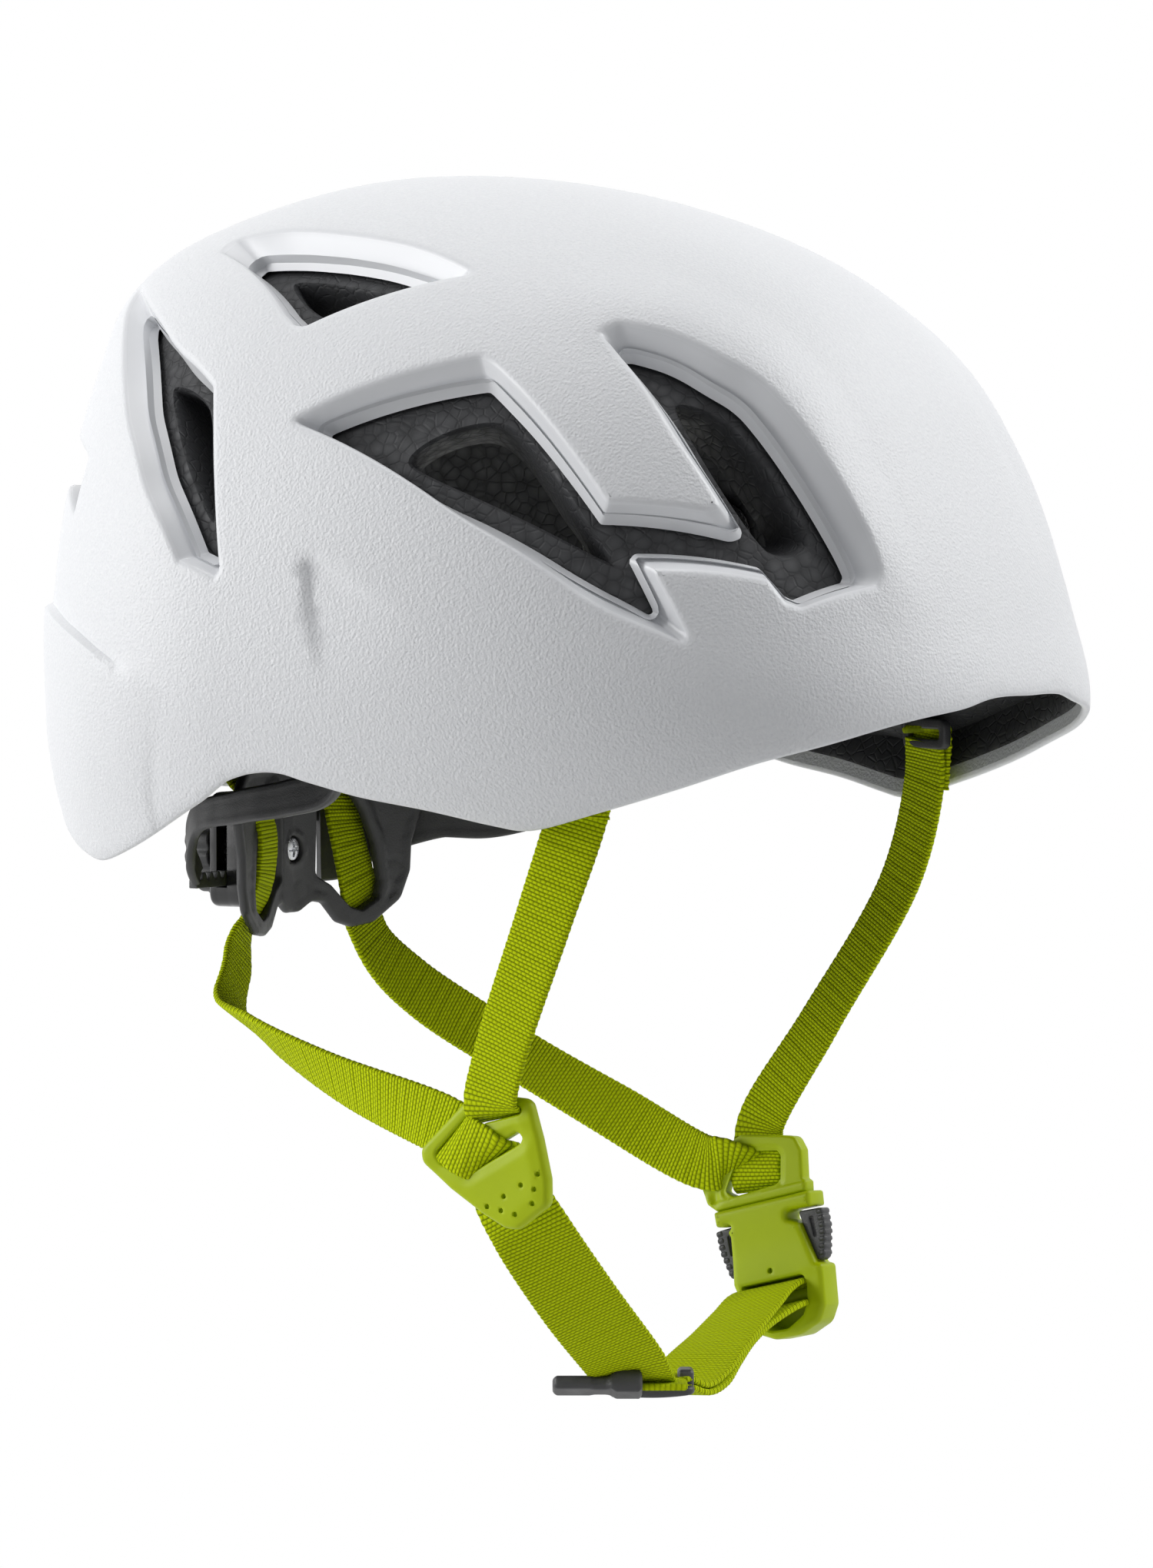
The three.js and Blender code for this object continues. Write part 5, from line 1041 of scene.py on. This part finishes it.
def build_buckle():
    outline = rounded(FRAME, [0.4, 0.6, 0.6, 2.0, 2.2, 3.0, 2.4, 2.0, 2.4, 1.2, 0.4], 0.5)
    window = rounded(FRAME_WINDOW, 1.0, 0.5)

    def frame_face(flat):
        band = 0.55 * (1 - ease(flat[:, 1], 1.9, 2.5))
        ramp = 0.9 * ease(flat[:, 0], 4.0, 16.0) * ease(flat[:, 1], 2.5, 6.0)
        rim = 0.45 * (1 - ease(line_gap(flat, window), 0.9, 1.6)) * ease(flat[:, 1], 2.6, 3.6)
        notch = 0.9 * np.exp(-(((flat - (15.0, 3.2)) / (1.3, 2.0)) ** 2).sum(1))
        return band - ramp - rim - notch

    shape = plate(outline, [window], -2.2, 2.2, edge=0.8, hole_edge=0.7, step=0.55, top=frame_face)
    tongue = rounded([(5.6, 0.5), (-5.6, 0.5), (-5.6, -11), (-4, -15), (4, -15), (5.6, -11)], 0.6)
    body = plate(tongue, [], -1.5, 1.5, edge=0.4, step=1.5)
    points, faces = join(shape, body)
    make("frame_body", on_buckle(points), faces, "green_plastic", "helmet", ["buckle_frame"])

    outline = rounded(HOUSING, [0.8, 0.7, 0.5, 0.5, 0.5, 0.5, 0.6, 2, 2, 2, 3.2, 4, 4, 4, 3, 1.2,
                                0.8, 0.8, 0.8, 1.0, 1.0, 0.8, 0.8, 0.8], 0.5)

    def housing_face(flat):
        waist = 0.25 * np.exp(-((flat[:, 1] + 12) / 6) ** 2)
        corner = 0.28 * ease(-flat[:, 1], 19.5, 23.0) * ease(-flat[:, 0], 6.5, 11.0)
        return -waist - corner - 0.25 * (1 - ease(-flat[:, 1], 0.7, 1.6))

    pits = [(rounded(POCKET, [0.6, 1.4, 1.2, 2.5, 2.5, 2.5, 2.5, 2.5], 0.5), 8.3, 0.7),
            (circle(1.0, -18.8, 0.72, 16), 1.6, 0.2)]
    shape = plate(outline, [], -4.5, 4.5, edge=1.5, under=1.5, step=0.7, top=housing_face,
                  pits=pits, arcs=5)
    bar = rod((-9.4, BAR_Z, 0.3), (10.6, BAR_Z, 0.3), 1.7)
    points, faces = join(shape, bar)
    make("housing_body", on_buckle(points), faces, "green_plastic", "helmet", ["buckle_housing"])

    for name, side in (("front", -1), ("rear", 1)):
        outline = rounded(np.array(BUTTON) * (side, 1), [0.6, 0.6, 0.8, 1, 0.8, 0.5, 0.5, 1], 0.35)
        slot = rounded(np.array(BUTTON_SLOT) * (side, 1), 0.5, 0.35)
        core = plate(outline, [slot], -1.9, 1.9, edge=0.5, hole_edge=0.3, step=0.6)
        parts = [core]
        for k in range(7):
            high = -6.2 - k * 1.8
            outer = 16.6 if high > -10.6 else 16.6 + (high + 10.6) * 0.24
            rib = box(outer - 2.2, outer, high + 0.8, high - 0.8)
            rib = rounded(np.array(rib) * (side, 1), 0.75, 0.25)
            parts.append(plate(rib, [], -2.2, 2.2, edge=0.7, step=0.5, arcs=3))
        points, faces = join(*parts)
        make("button_" + name, on_buckle(points), faces, "black_plastic", "button_" + name,
             ["release_button_" + name])


build_divider()
build_buckle()

# Routes: most places hang from the helmet; the ends are set on the plates they meet
FRONT_TOP = [(83.3, -89.3, -35.5), (85.1, -88.3, -46), (87.4, -80, -72)]
FRONT_RIGHT = [
    *mirror(FRONT_TOP), (-86.9, -67.6, -104),
    *on_divider([(12.4, 0.4, 3.4), (12.6, -2.0, 2.4), (12.7, -3.4, 0.0), (12.7, -3.9, -2.4)])
]
FRONT_LEFT = [
    *FRONT_TOP, (82.4, -58.6, -110),
    *on_buckle([(-1.2, 20.5, -1.6), (0.6, 14.0, -0.9), (1.9, 8.6, 0.2), (2.6, 5.2, -0.6),
                (3.0, 3.4, -2.6)]),
]
FRONT_RIGHT_WIDTHS = [
    (-0.42, 1, 0), (-0.38, 1, 0), (-0.1, 1, 0), (0.05, 1, 0), (0.05, 1, -0.08), (0, 1, -0.18),
    (0, 0.973, -0.232), (0, 0.973, -0.232),
]
FRONT_LEFT_WIDTHS = [
    (0.42, 1, 0), (0.38, 1, 0), (0.36, 1, 0), (0.3, 1, 0), (0.1, 1, 0), (0, 1, -0.05),
    (0, 1, -0.2), (0, 1, -0.25), (0, 1, -0.25),
]
REAR_RIGHT = [
    (-28, 68.3, -23), (-27, 67, -31), (-23.5, 55, -44), (-21, 47.2, -56), (-21, 46.9, -68),
    (-23, 48.4, -77), (-25.5, 51, -84), (-29.5, 50, -92), (-38, 45.5, -101),
    (-58, 22.8, -106.5), (-70, -9, -115.8),
    *on_divider([(31.6, -6.9, -3.6), (26.6, -8.6, -2.4), (24.6, -9.4, 0.2), (22.0, -10.7, 1.9),
                 (18.0, -12.4, 2.2), (15.4, -13.6, 1.2), (14.3, -14.1, -0.8), (14.0, -14.3, -2.8)]),
]
REAR_LEFT = [
    (28, 68.3, -23), (27, 67, -31), (23, 55.5, -45), (22, 51, -60), (24.5, 48.8, -75),
    (28, 49.6, -83), (32.5, 47.8, -92), (44, 42.8, -103), (62, 29, -118), (72.5, 0, -135.4),
    *on_buckle([(15.4, 13.4, 3.4), (9.8, 11.8, 2.6), (7.0, 10.6, 0.4), (5.8, 10.0, -2.6)])
]
REAR_RIGHT_WIDTHS = [
    (-1, -0.27, 0), (-1, -0.25, 0), (-1, -0.3, 0), (-1, -0.34, 0), (-1, -0.34, 0), (-1, -0.34, 0),
    (-1, -0.3, 0), (-1, -0.2, 0.02), (-0.93, -0.3, 0.12), (-0.8, -0.45, 0.3), (-0.46, -0.08, 0.88),
    (0, -0.68, 0.73), (0, -0.69, 0.73), (0, -0.66, 0.75), (0, -0.56, 0.83), (0, -0.68, 0.73),
    (0, -0.78, 0.62), (0, -0.84, 0.54), (0, -0.86, 0.5),
]
REAR_LEFT_WIDTHS = [
    (1, -0.27, 0), (1, -0.25, 0), (1, -0.05, 0), (1, 0, 0), (1, -0.05, 0), (1, -0.05, 0),
    (0.97, -0.1, 0.1), (0.85, -0.3, 0.3), (0.75, -0.45, 0.4), (0.46, -0.08, 0.88),
    (0, -0.7, 0.72), (0, -0.76, 0.65), (0, -0.8, 0.6), (0, -0.82, 0.57),
]
CRADLE_CROSSING = -72  # height at which the rear straps are fast in the cradle
CHIN_NEAR = [
    (-78.6, -64, -134), (-77.4, -64.4, -141), (-74, -68, -150), (-56, -70.4, -169),
    (-34, -70.2, -186.5), (-26, -67.8, -191.2), (-20.5, -65.3, -193.2), (-16.5, -61.8, -193.8),
]
CHIN_NEAR_WIDTHS = [
    (0.1, -0.82, 0.56), (0.1, -0.82, 0.56), (0.2, -0.82, 0.54), (0.4, -0.82, 0.42),
    (0.5, -0.84, 0.2), (0.53, -0.85, 0.05), (0.53, -0.85, 0), (0.53, -0.85, 0),
]
CHIN_FAR = [
    (-13.5, -66.4, -195.6), (-5.5, -66.9, -197.0), (5.5, -65.3, -196.2), (18, -61.8, -193.1),
    (32, -58, -190.2), (50, -54.3, -187.3),
]
CHIN_BACK = [
    (-13.5, -66, -193.5), (-5.5, -66.6, -194.9), (6, -65.2, -193.3), (18, -62.6, -190.2),
    (34, -58.8, -186.9), (52, -54.3, -183.2), (64.5, -51.6, -180.3),
]
CHIN_FAR_WIDTHS = [
    (0.53, -0.85, 0), (0.5, -0.86, 0.03), (0.42, -0.9, 0.06), (0.3, -0.94, 0.1),
    (0.15, -0.96, 0.16), (0.06, -0.97, 0.19),
]
ACROSS_BUCKLE = tuple(-BUCKLE_TURN[:, 1])
CHIN_LOOP = [
    *CHIN_BACK,
    *on_buckle([(1.0, -23.3, 3.4), (1.0, -24.0, 0.8), (1.0, -26.6, -2.3), (1.0, -29.2, 0.6),
                (1.1, -29.0, 4.2)]),
    *CHIN_FAR[::-1],
]
CHIN_LOOP_WIDTHS = [*CHIN_FAR_WIDTHS, (0, -0.98, 0.2), *[ACROSS_BUCKLE] * 5, *CHIN_FAR_WIDTHS[::-1]]
FREE_END = [
    (-12.5, -64.2, -192.6), (-16.2, -66.6, -192.7), (-20.5, -69.3, -192.9), (-26.6, -73.2, -192.9),
]
FREE_END_WIDTHS = [(0.53, -0.85, 0)] * 4

strap("webbing_front_right", "front_strap_right", FRONT_RIGHT, FRONT_RIGHT_WIDTHS)
strap("webbing_front_left", "front_strap_left", FRONT_LEFT, FRONT_LEFT_WIDTHS)
for side, stations, widths, last_free in (
    ("right", REAR_RIGHT, REAR_RIGHT_WIDTHS, 10), ("left", REAR_LEFT, REAR_LEFT_WIDTHS, 9),
):
    name, node = "webbing_rear_" + side, "rear_strap_" + side
    upper = strap(name + "_top", node, stations, widths, body=None, below=CRADLE_CROSSING)
    lower = strap(name, node, stations, widths, body=None, above=CRADLE_CROSSING)
    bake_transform(upper)
    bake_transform(lower)
strap("webbing_chin_near", "chin_strap_near", CHIN_NEAR, CHIN_NEAR_WIDTHS, CHIN_WIDTH, pucker=0.05)
strap("webbing_chin_loop", "chin_strap_far", CHIN_LOOP, CHIN_LOOP_WIDTHS, CHIN_WIDTH, pucker=0.05)
strap("webbing_free_end", None, FREE_END, FREE_END_WIDTHS, CHIN_WIDTH - 2, pucker=0.03)


def build_anchor(name, node, seat, turn, wide, tall):
    """A rounded plate with a strap slot, pressed into the liner; x along the slot, y up."""
    outline = rounded(box(-wide / 2, wide / 2, -tall / 2, tall / 2), 2.4, 0.6)
    slot = rounded(box(-wide / 2 + 2.2, wide / 2 - 2.2, -1.3, 1.3), 0.8, 0.5)

    def dished(flat):
        return 0.5 * (1 - ease(line_gap(flat, outline), 0.6, 2.0))

    points, faces = plate(outline, [slot], -1.1, 1.1, edge=0.6, hole_edge=0.5, step=0.8, top=dished)
    points = points[:, [0, 2, 1]] * (1, -1, 1)
    return make(name, points @ turn.T + seat, faces, "black_plastic", "helmet", [node])


FOLD = [
    (82.9, -89.6, -32.5), (84.6, -89.9, -32.0), (85.9, -90.0, -35), (86.4, -89.4, -41),
    (86.6, -88.8, -47.5),
]
for side, name in ((-1, "right"), (1, "left")):
    build_anchor("anchor_plate_front_" + name, "strap_anchor_front_" + name,
                 np.array([side * 83.6, -89.6, -33.6]), turn_about("Z", side * 67), 17.5, 8)
    build_anchor("anchor_plate_rear_" + name, "strap_anchor_rear_" + name,
                 np.array([side * 27.7, 67.6, -26]), turn_about("Z", side * -15), 18, 8.6)
    strap("strap_fold_front_" + name, None, np.array(FOLD) * (side, 1, 1), [(0.42 * side, 1, 0)] * 5,
          15.6, pucker=0.16, wobble=0.25)


# Chin slider and the moulded tab on the free end: x across the strap, y along it, z up
SLIDER_CENTRE = np.array([-14.5, -65.55, -198.4])
SLIDER_TURN = turn_about("Z", -58)


def on_slider(p, tilt=0, shift=(0, 0, 0)):
    p = np.asarray(p, float) @ turn_about("X", tilt).T + shift
    return p @ SLIDER_TURN.T + SLIDER_CENTRE


def build_slider():
    slots = [rounded(box(-8.6, 8.6, *sorted((side * 1.4, side * 4.6))), 1.0, 0.5) for side in (-1, 1)]

    def belly(flat):
        return 0.9 * (1 - (flat[:, 0] / 11) ** 2)

    ladder = plate(rounded(box(-10.9, 10.9, -7.5, 7.5), 2.6), slots, 2.7, 4.6, edge=0.8,
                   hole_edge=0.6, step=0.8, bottom=belly)
    posts = [plate(rounded(box(*sorted((side * 10.8, side * 6.7)), -3.6, 3.6), 1.3, 0.5), [],
                   2.6, 8.4, edge=1.1, step=0.7) for side in (-1, 1)]
    points, faces = join(ladder, *posts)
    make("slider_body", on_slider(points), faces, "black_plastic", "helmet", ["chin_slider"])
    half = [(-11.8, -2.2), (-11.2, -4.0), (-2.4, -4.0), (-1.2, -3.2), (1.4, -3.2), (3.0, -4.3),
            (10.6, -4.3)]
    radii = [1.5, 1.5, 1, 1, 1, 1, 1.2]
    outline = rounded(half + [(x, -y) for x, y in half[::-1]], radii + radii[::-1], 0.5)

    def block(flat):
        pip = np.exp(-(((flat + (6.4, 0)) / (2.6, 1.6)) ** 2).sum(1))
        return 1.5 * ease(flat[:, 0], 2.6, 4.2) + 0.25 * pip

    points, faces = plate(outline, [], -1.7, 1.7, edge=1.1, step=0.6, top=block,
                          bottom=lambda flat: 0.8 * ease(flat[:, 0], 2.6, 4.2))
    make("tab_body", on_slider(points, -24, (-12.8, -16.0, 6.2)), faces, "black_plastic", "helmet",
         ["strap_end_tab"])


build_slider()


# Nape cradle: across and height in the brim frame, and out towards the head
CRADLE_Y, CRADLE_BOW, CRADLE_HALF, CRADLE_TOP, CRADLE_HEIGHT = 52.4, 12, 41, -43.0, 44
CRADLE_WALL = 3
DIAL_Z = -64.0
CRADLE = [
    (0.62, -0.06), (0.86, -0.04), (1.02, 0.08), (1.03, 0.28), (0.955, 0.47), (0.945, 0.64),
    (0.87, 0.81), (0.66, 0.945), (0.5, 0.965), (0.385, 0.93), (0.27, 0.81), (0.18, 0.795),
    (0.07, 0.855),
]
CRADLE_WINDOW = [
    (0.21, 0.2), (0.3, 0.1), (0.46, 0.12), (0.58, 0.27), (0.67, 0.46), (0.715, 0.69), (0.69, 0.79),
    (0.56, 0.86), (0.47, 0.835), (0.32, 0.7), (0.2, 0.64),
]


def on_cradle(p):
    p = np.asarray(p, float)
    bow = CRADLE_BOW * np.abs(p[:, 0] / CRADLE_HALF) ** 1.2
    return np.column_stack([p[:, 0], CRADLE_Y - bow + CRADLE_WALL - p[:, 2], p[:, 1]])


def cradle_points(rows, side):
    return [(side * x * CRADLE_HALF, CRADLE_TOP - y * CRADLE_HEIGHT) for x, y in rows]


def build_cradle():
    right, left = cradle_points(CRADLE, 1), cradle_points(CRADLE, -1)[::-1]
    radii = [3, 4, 5, 5, 3.5, 4, 5, 3, 3.5, 3, 2.5, 3, 4]
    outline = rounded(right + left, radii + radii[::-1], 0.8)
    windows = [rounded(cradle_points(CRADLE_WINDOW, side), [2, 2, 3, 4, 4, 2, 1.5, 2, 2, 3, 2], 0.8)
               for side in (1, -1)]
    edges = [outline] + windows

    def face(flat):
        gap = np.min([line_gap(flat, loop) for loop in edges], axis=0)
        raised = 0.55 * (1 - ease(gap, 2.3, 3.0))
        rings = np.zeros(len(flat))
        for x, y in ((2.6, -74.6), (33.6, -70.5), (-33.6, -70.5)):
            off = np.hypot(flat[:, 0] - x, flat[:, 1] - y)
            rings += 0.28 * np.exp(-((off - 2.6) / 0.35) ** 2)
        cup = 0.6 * np.exp(-((np.hypot(flat[:, 0], flat[:, 1] - DIAL_Z) - 4.3) / 0.5) ** 2)
        return raised * ease(np.abs(flat[:, 0]), 6, 9) - rings + cup

    pits = [(circle(0, DIAL_Z, 3.5, 32), 2.0, 0.3)]
    points, faces = plate(outline, windows, 0.2, CRADLE_WALL - 0.3, edge=1.1, hole_edge=0.9,
                          step=0.9, top=face, pits=pits)
    make("cradle_body", on_cradle(points), faces, "black_plastic", "headband", ["nape_cradle"], sharp=45)

    def head(flat):
        r = np.hypot(flat[:, 0], flat[:, 1])
        bar = np.minimum(np.abs(flat[:, 0]), np.abs(flat[:, 1]))
        cross = (1 - ease(bar, 0.3, 0.5)) * (1 - ease(r, 1.7, 2.1))
        return 0.45 * (1 - (r / 3.1) ** 2) - cross

    points, faces = plate(circle(0, 0, 3.1, 40), [], 0, 1.3, edge=0.45, step=0.2, top=head)
    points = np.column_stack([points[:, 0], CRADLE_Y + 1.7 - points[:, 2], DIAL_Z + points[:, 1]])
    shank = rod((0, CRADLE_Y + 1.7, DIAL_Z), (0, 64.2, DIAL_Z), 1.3, 14)
    points, faces = join((points, faces), shank)
    make("screw_body", points, faces, "steel", "headband", ["dial_screw"], sharp=35)


def on_dial(p):
    """Across, up from the dial's axis, and back along it."""
    p = np.asarray(p, float)
    return np.column_stack([p[:, 0], p[:, 2], DIAL_Z + p[:, 1]])


HOUSING_FRONT, RACK_Y, HOUSING_BACK = 55.8, 66.0, 70.4
RACK_HALF, CHANNEL = 1.65, 9.75


def build_dial():
    outer = rounded(box(-13.6, 13.6, -15, 15), 4.2, 0.7)

    def fluted(flat):
        groove = np.exp(-((np.abs(flat[:, 0]) - 9.2) / 0.6) ** 2)
        return -0.4 * groove * ease(14 - np.abs(flat[:, 1]), 0, 3)

    front = plate(outer, [circle(0, 0, 1.7, 16)], HOUSING_FRONT, RACK_Y - RACK_HALF, edge=0.05,
                  under=2.2, hole_edge=0.05, step=1.2,
                  bottom=lambda flat: 0.5 * (1 - (flat[:, 0] / 14) ** 2))
    back = plate(outer, [circle(0, 0, 10.1, 48)], RACK_Y + RACK_HALF, HOUSING_BACK, edge=1.3,
                 under=0.05, hole_edge=0.05, step=0.9, top=fluted)
    parts = [front, back]
    for side in (-1, 1):
        loop = [(x, y) for x, y in outer if side * y > CHANNEL]
        loop = np.array(sorted(loop, key=lambda q: math.atan2(q[0], side * q[1])))
        loop = np.vstack([[(loop[0][0], side * CHANNEL)], loop, [(loop[-1][0], side * CHANNEL)]])
        parts.append(plate(rounded(loop, 0.05, 0.8), [], RACK_Y - RACK_HALF - 0.1,
                           RACK_Y + RACK_HALF + 0.1, edge=0.05, step=1.5, arcs=1))
    points, faces = join(*parts)
    make("dial_case", on_dial(points), faces, "black_gloss", "headband", ["dial_housing"], sharp=35)
    angle = np.arange(336) * 2 * math.pi / 336
    radius = 12.55 - 0.85 * (0.5 + 0.5 * np.cos(14 * angle)) ** 2
    lobes = np.column_stack([radius * np.cos(angle), radius * np.sin(angle)])

    def dish(flat):
        r = np.hypot(flat[:, 0], flat[:, 1])
        arrow = 0.35 * np.exp(-((r - 5.6) / 0.35) ** 2)
        return -0.7 * (1 - ease(r, 6.2, 8.8)) - arrow

    points, faces = plate(lobes, [], 71.4, 79.3, edge=1.3, under=0.6, step=0.8, top=dish)
    make("knob_body", on_dial(points), faces, "black_plastic", "dial", ["dial_knob"])


ARM_RIGHT = [
    (-25, 65.8, -70), (-31, 63.4, -64.5), (-37, 57.6, -55.2), (-50, 34.7, -50.2), (-60, 13.1, -47),
    (-68, -4, -43), (-77, -16, -33), (-82.9, -23.8, -20),
]
ARM_LEFT = [
    (26.2, 62.6, -64.2), (31, 60.6, -64), (38, 55.8, -61), (48, 41, -58.2), (55, 27, -58.2),
    (60.5, 13, -54.5), (67, -2, -47.5), (76, -15, -35), (82.9, -23.8, -20),
]
ARM_RIGHT_HEIGHTS = [(0, 6.4), (0.1, 7), (0.2, 7.6), (0.4, 8.8), (0.7, 9.6), (1, 11)]
ARM_LEFT_HEIGHTS = [(0, 20), (0.08, 19.6), (0.15, 15), (0.3, 9.6), (0.7, 9.6), (1, 11)]
ARM_WALL = 2.0


def band(stations, heights, thickness):
    """A flat band that stands on edge, its last end rounded over."""
    centre, across, out, run = route_frames(stations, [(0, 0, 1)] * len(stations), 0.9)
    b = Builder()
    share = run / run[-1]
    tall = np.interp(share, *zip(*heights))
    left = run[-1] - run
    end = np.clip(1 - (1 - np.clip(left / (tall / 2), 0, 1)) ** 2, 0.02, 1) ** 0.5
    for i in range(len(centre)):
        section = band_section(tall[i], thickness, 7, 0.8)
        section[:, 0] *= end[i]
        lip = 1 + 0.22 * ease(np.abs(section[:, 0]) / max(tall[i] / 2 * end[i], 0.1), 0.62, 0.74)
        b.add(centre[i] + np.outer(section[:, 0], across[i]) + np.outer(section[:, 1] * lip, out[i]))
    b.tube(len(section))
    return np.vstack(b.points), b.faces


RACK_PITCH, RACK_DEPTH = 3.14, 1.9


def build_arms():
    for name, side, stations, heights, foot, tip in (
        ("right", -1, ARM_RIGHT, ARM_RIGHT_HEIGHTS, -73.3, 1),
        ("left", 1, ARM_LEFT, ARM_LEFT_HEIGHTS, -54.7, -1),
    ):
        points, faces = band(stations, heights, ARM_WALL)
        arm = make("arm_band_" + name, points, faces, "black_plastic", None, ["headband_arm_" + name],
                   sharp=45)
        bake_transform(arm)
        row = [(26.5 * side, foot), (26.5 * side, foot + tip * 2.2)]
        for k in range(11):
            x = (24 - k * RACK_PITCH) * side
            level = foot + tip * (4.0 - RACK_DEPTH)
            row += [(x, level), (x - 0.8 * side, level + tip * RACK_DEPTH),
                    (x - 1.5 * side, level + tip * RACK_DEPTH), (x - 2.3 * side, level)]
        row += [(-9 * side, foot + tip * 2.0), (-9 * side, foot)]
        parts = [plate(rounded(row, 0.25, 0.4), [], 64.7, 67.3, edge=0.2, step=1.2, arcs=2)]
        if side > 0:
            link = rounded(box(25.9, 29.5, foot - 3.6, foot), 0.6, 0.5)
            parts.append(plate(link, [], 61.8, 66.6, edge=0.4, step=1.0, arcs=2))
        points, faces = join(*parts)
        make("rack_bar_" + name, points[:, [0, 2, 1]], faces, "black_plastic", "rack_" + name,
             ["size_rack_" + name])


build_cradle()
build_dial()
build_arms()

# Carried-over nodes
CARRIED_OVER = {
    "temple_stud": "black_plastic", "button_spring": "steel", "dial_pinion": "black_plastic",
    "dial_pawl": "black_plastic",
}
for name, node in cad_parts.items():
    for prefix, finish in CARRIED_OVER.items():
        if name.startswith(prefix):
            node.data.materials.clear()
            node.data.materials.append(FINISHES[finish])

# Stage
FLOOR = -0.45


def stage_finish(name, shade):
    """White where it is seen; under the object part of its own shade stays."""
    material = bpy.data.materials.new(name)
    material.use_nodes = True
    material.node_tree.nodes.clear()
    n = Nodes(material.node_tree)
    reach = n.node("VectorMath", "Value", {"operation": "LENGTH"}, i0=n.node("TexCoord", "Object"))
    share = n.math("MULTIPLY", n.seen_directly(),
                   n.node("MapRange", i0=reach, i1=0.4, i2=0.75, i3=0.8, i4=1.0))
    diffuse = n.node("BsdfDiffuse", i0=(shade, shade, shade, 1))
    n.node("OutputMaterial", i0=n.node("MixShader", i0=share, i1=diffuse, i2=n.node("Emission")))
    return material


floor_mesh = bpy.data.meshes.new("floor")
floor_mesh.from_pydata([(x, y, FLOOR) for x, y in box(-6, 6, -6, 6)], [], [(0, 1, 2, 3)])
floor = bpy.data.objects.new("floor", floor_mesh)
bpy.context.scene.collection.objects.link(floor)
floor_mesh.materials.append(stage_finish("floor_pale", 0.75))

world = bpy.context.scene.world or bpy.data.worlds.new("studio")
bpy.context.scene.world = world
world.use_nodes = True
world.node_tree.nodes.clear()
sky = Nodes(world.node_tree)
soft = sky.node("Background", i0=(0.95, 0.97, 1, 1), i1=0.19)
white = sky.node("Background", i0=(1, 1, 1, 1))
sky.node("OutputWorld", i0=sky.node("MixShader", i0=sky.seen_directly(), i1=soft, i2=white))


def lamp(name, location, target, size, power):
    data = bpy.data.lights.new(name, "AREA")
    data.shape = "RECTANGLE"
    data.size, data.size_y = size
    data.energy = power
    light = bpy.data.objects.new(name, data)
    light.location = location
    light.rotation_mode = "QUATERNION"
    light.rotation_quaternion = (Vector(target) - Vector(location)).to_track_quat("-Z", "Y")
    bpy.context.scene.collection.objects.link(light)


lamp("key", (0.75, -1.15, 0.95), (0, 0, -0.08), (0.9, 0.9), 18)
lamp("rear_fill", (-0.95, 1.25, 0.35), (0, 0, -0.16), (0.9, 1.1), 20)
lamp("top", (-0.1, 0.1, 1.6), (0, 0, 0), (0.9, 0.9), 9)

# Camera at the photograph's angle
LOOK = Vector((0.8470, 0.5293, -0.04885))
RIGHT = Vector((0.52992, -0.84805, 0))
camera_data = bpy.data.cameras.new("camera")
camera_data.lens = 152.8
camera_data.sensor_width = 36
camera_data.sensor_fit = "AUTO"
camera = bpy.data.objects.new("camera", camera_data)
up = RIGHT.cross(LOOK)
camera.matrix_world = Matrix.Translation((-1.4327, -0.9298, -0.0395)) @ Matrix((
    (RIGHT.x, up.x, -LOOK.x, 0), (RIGHT.y, up.y, -LOOK.y, 0), (RIGHT.z, up.z, -LOOK.z, 0),
    (0, 0, 0, 1),
))
bpy.context.scene.collection.objects.link(camera)
bpy.context.scene.camera = camera
bpy.context.scene.view_settings.view_transform = "Standard"
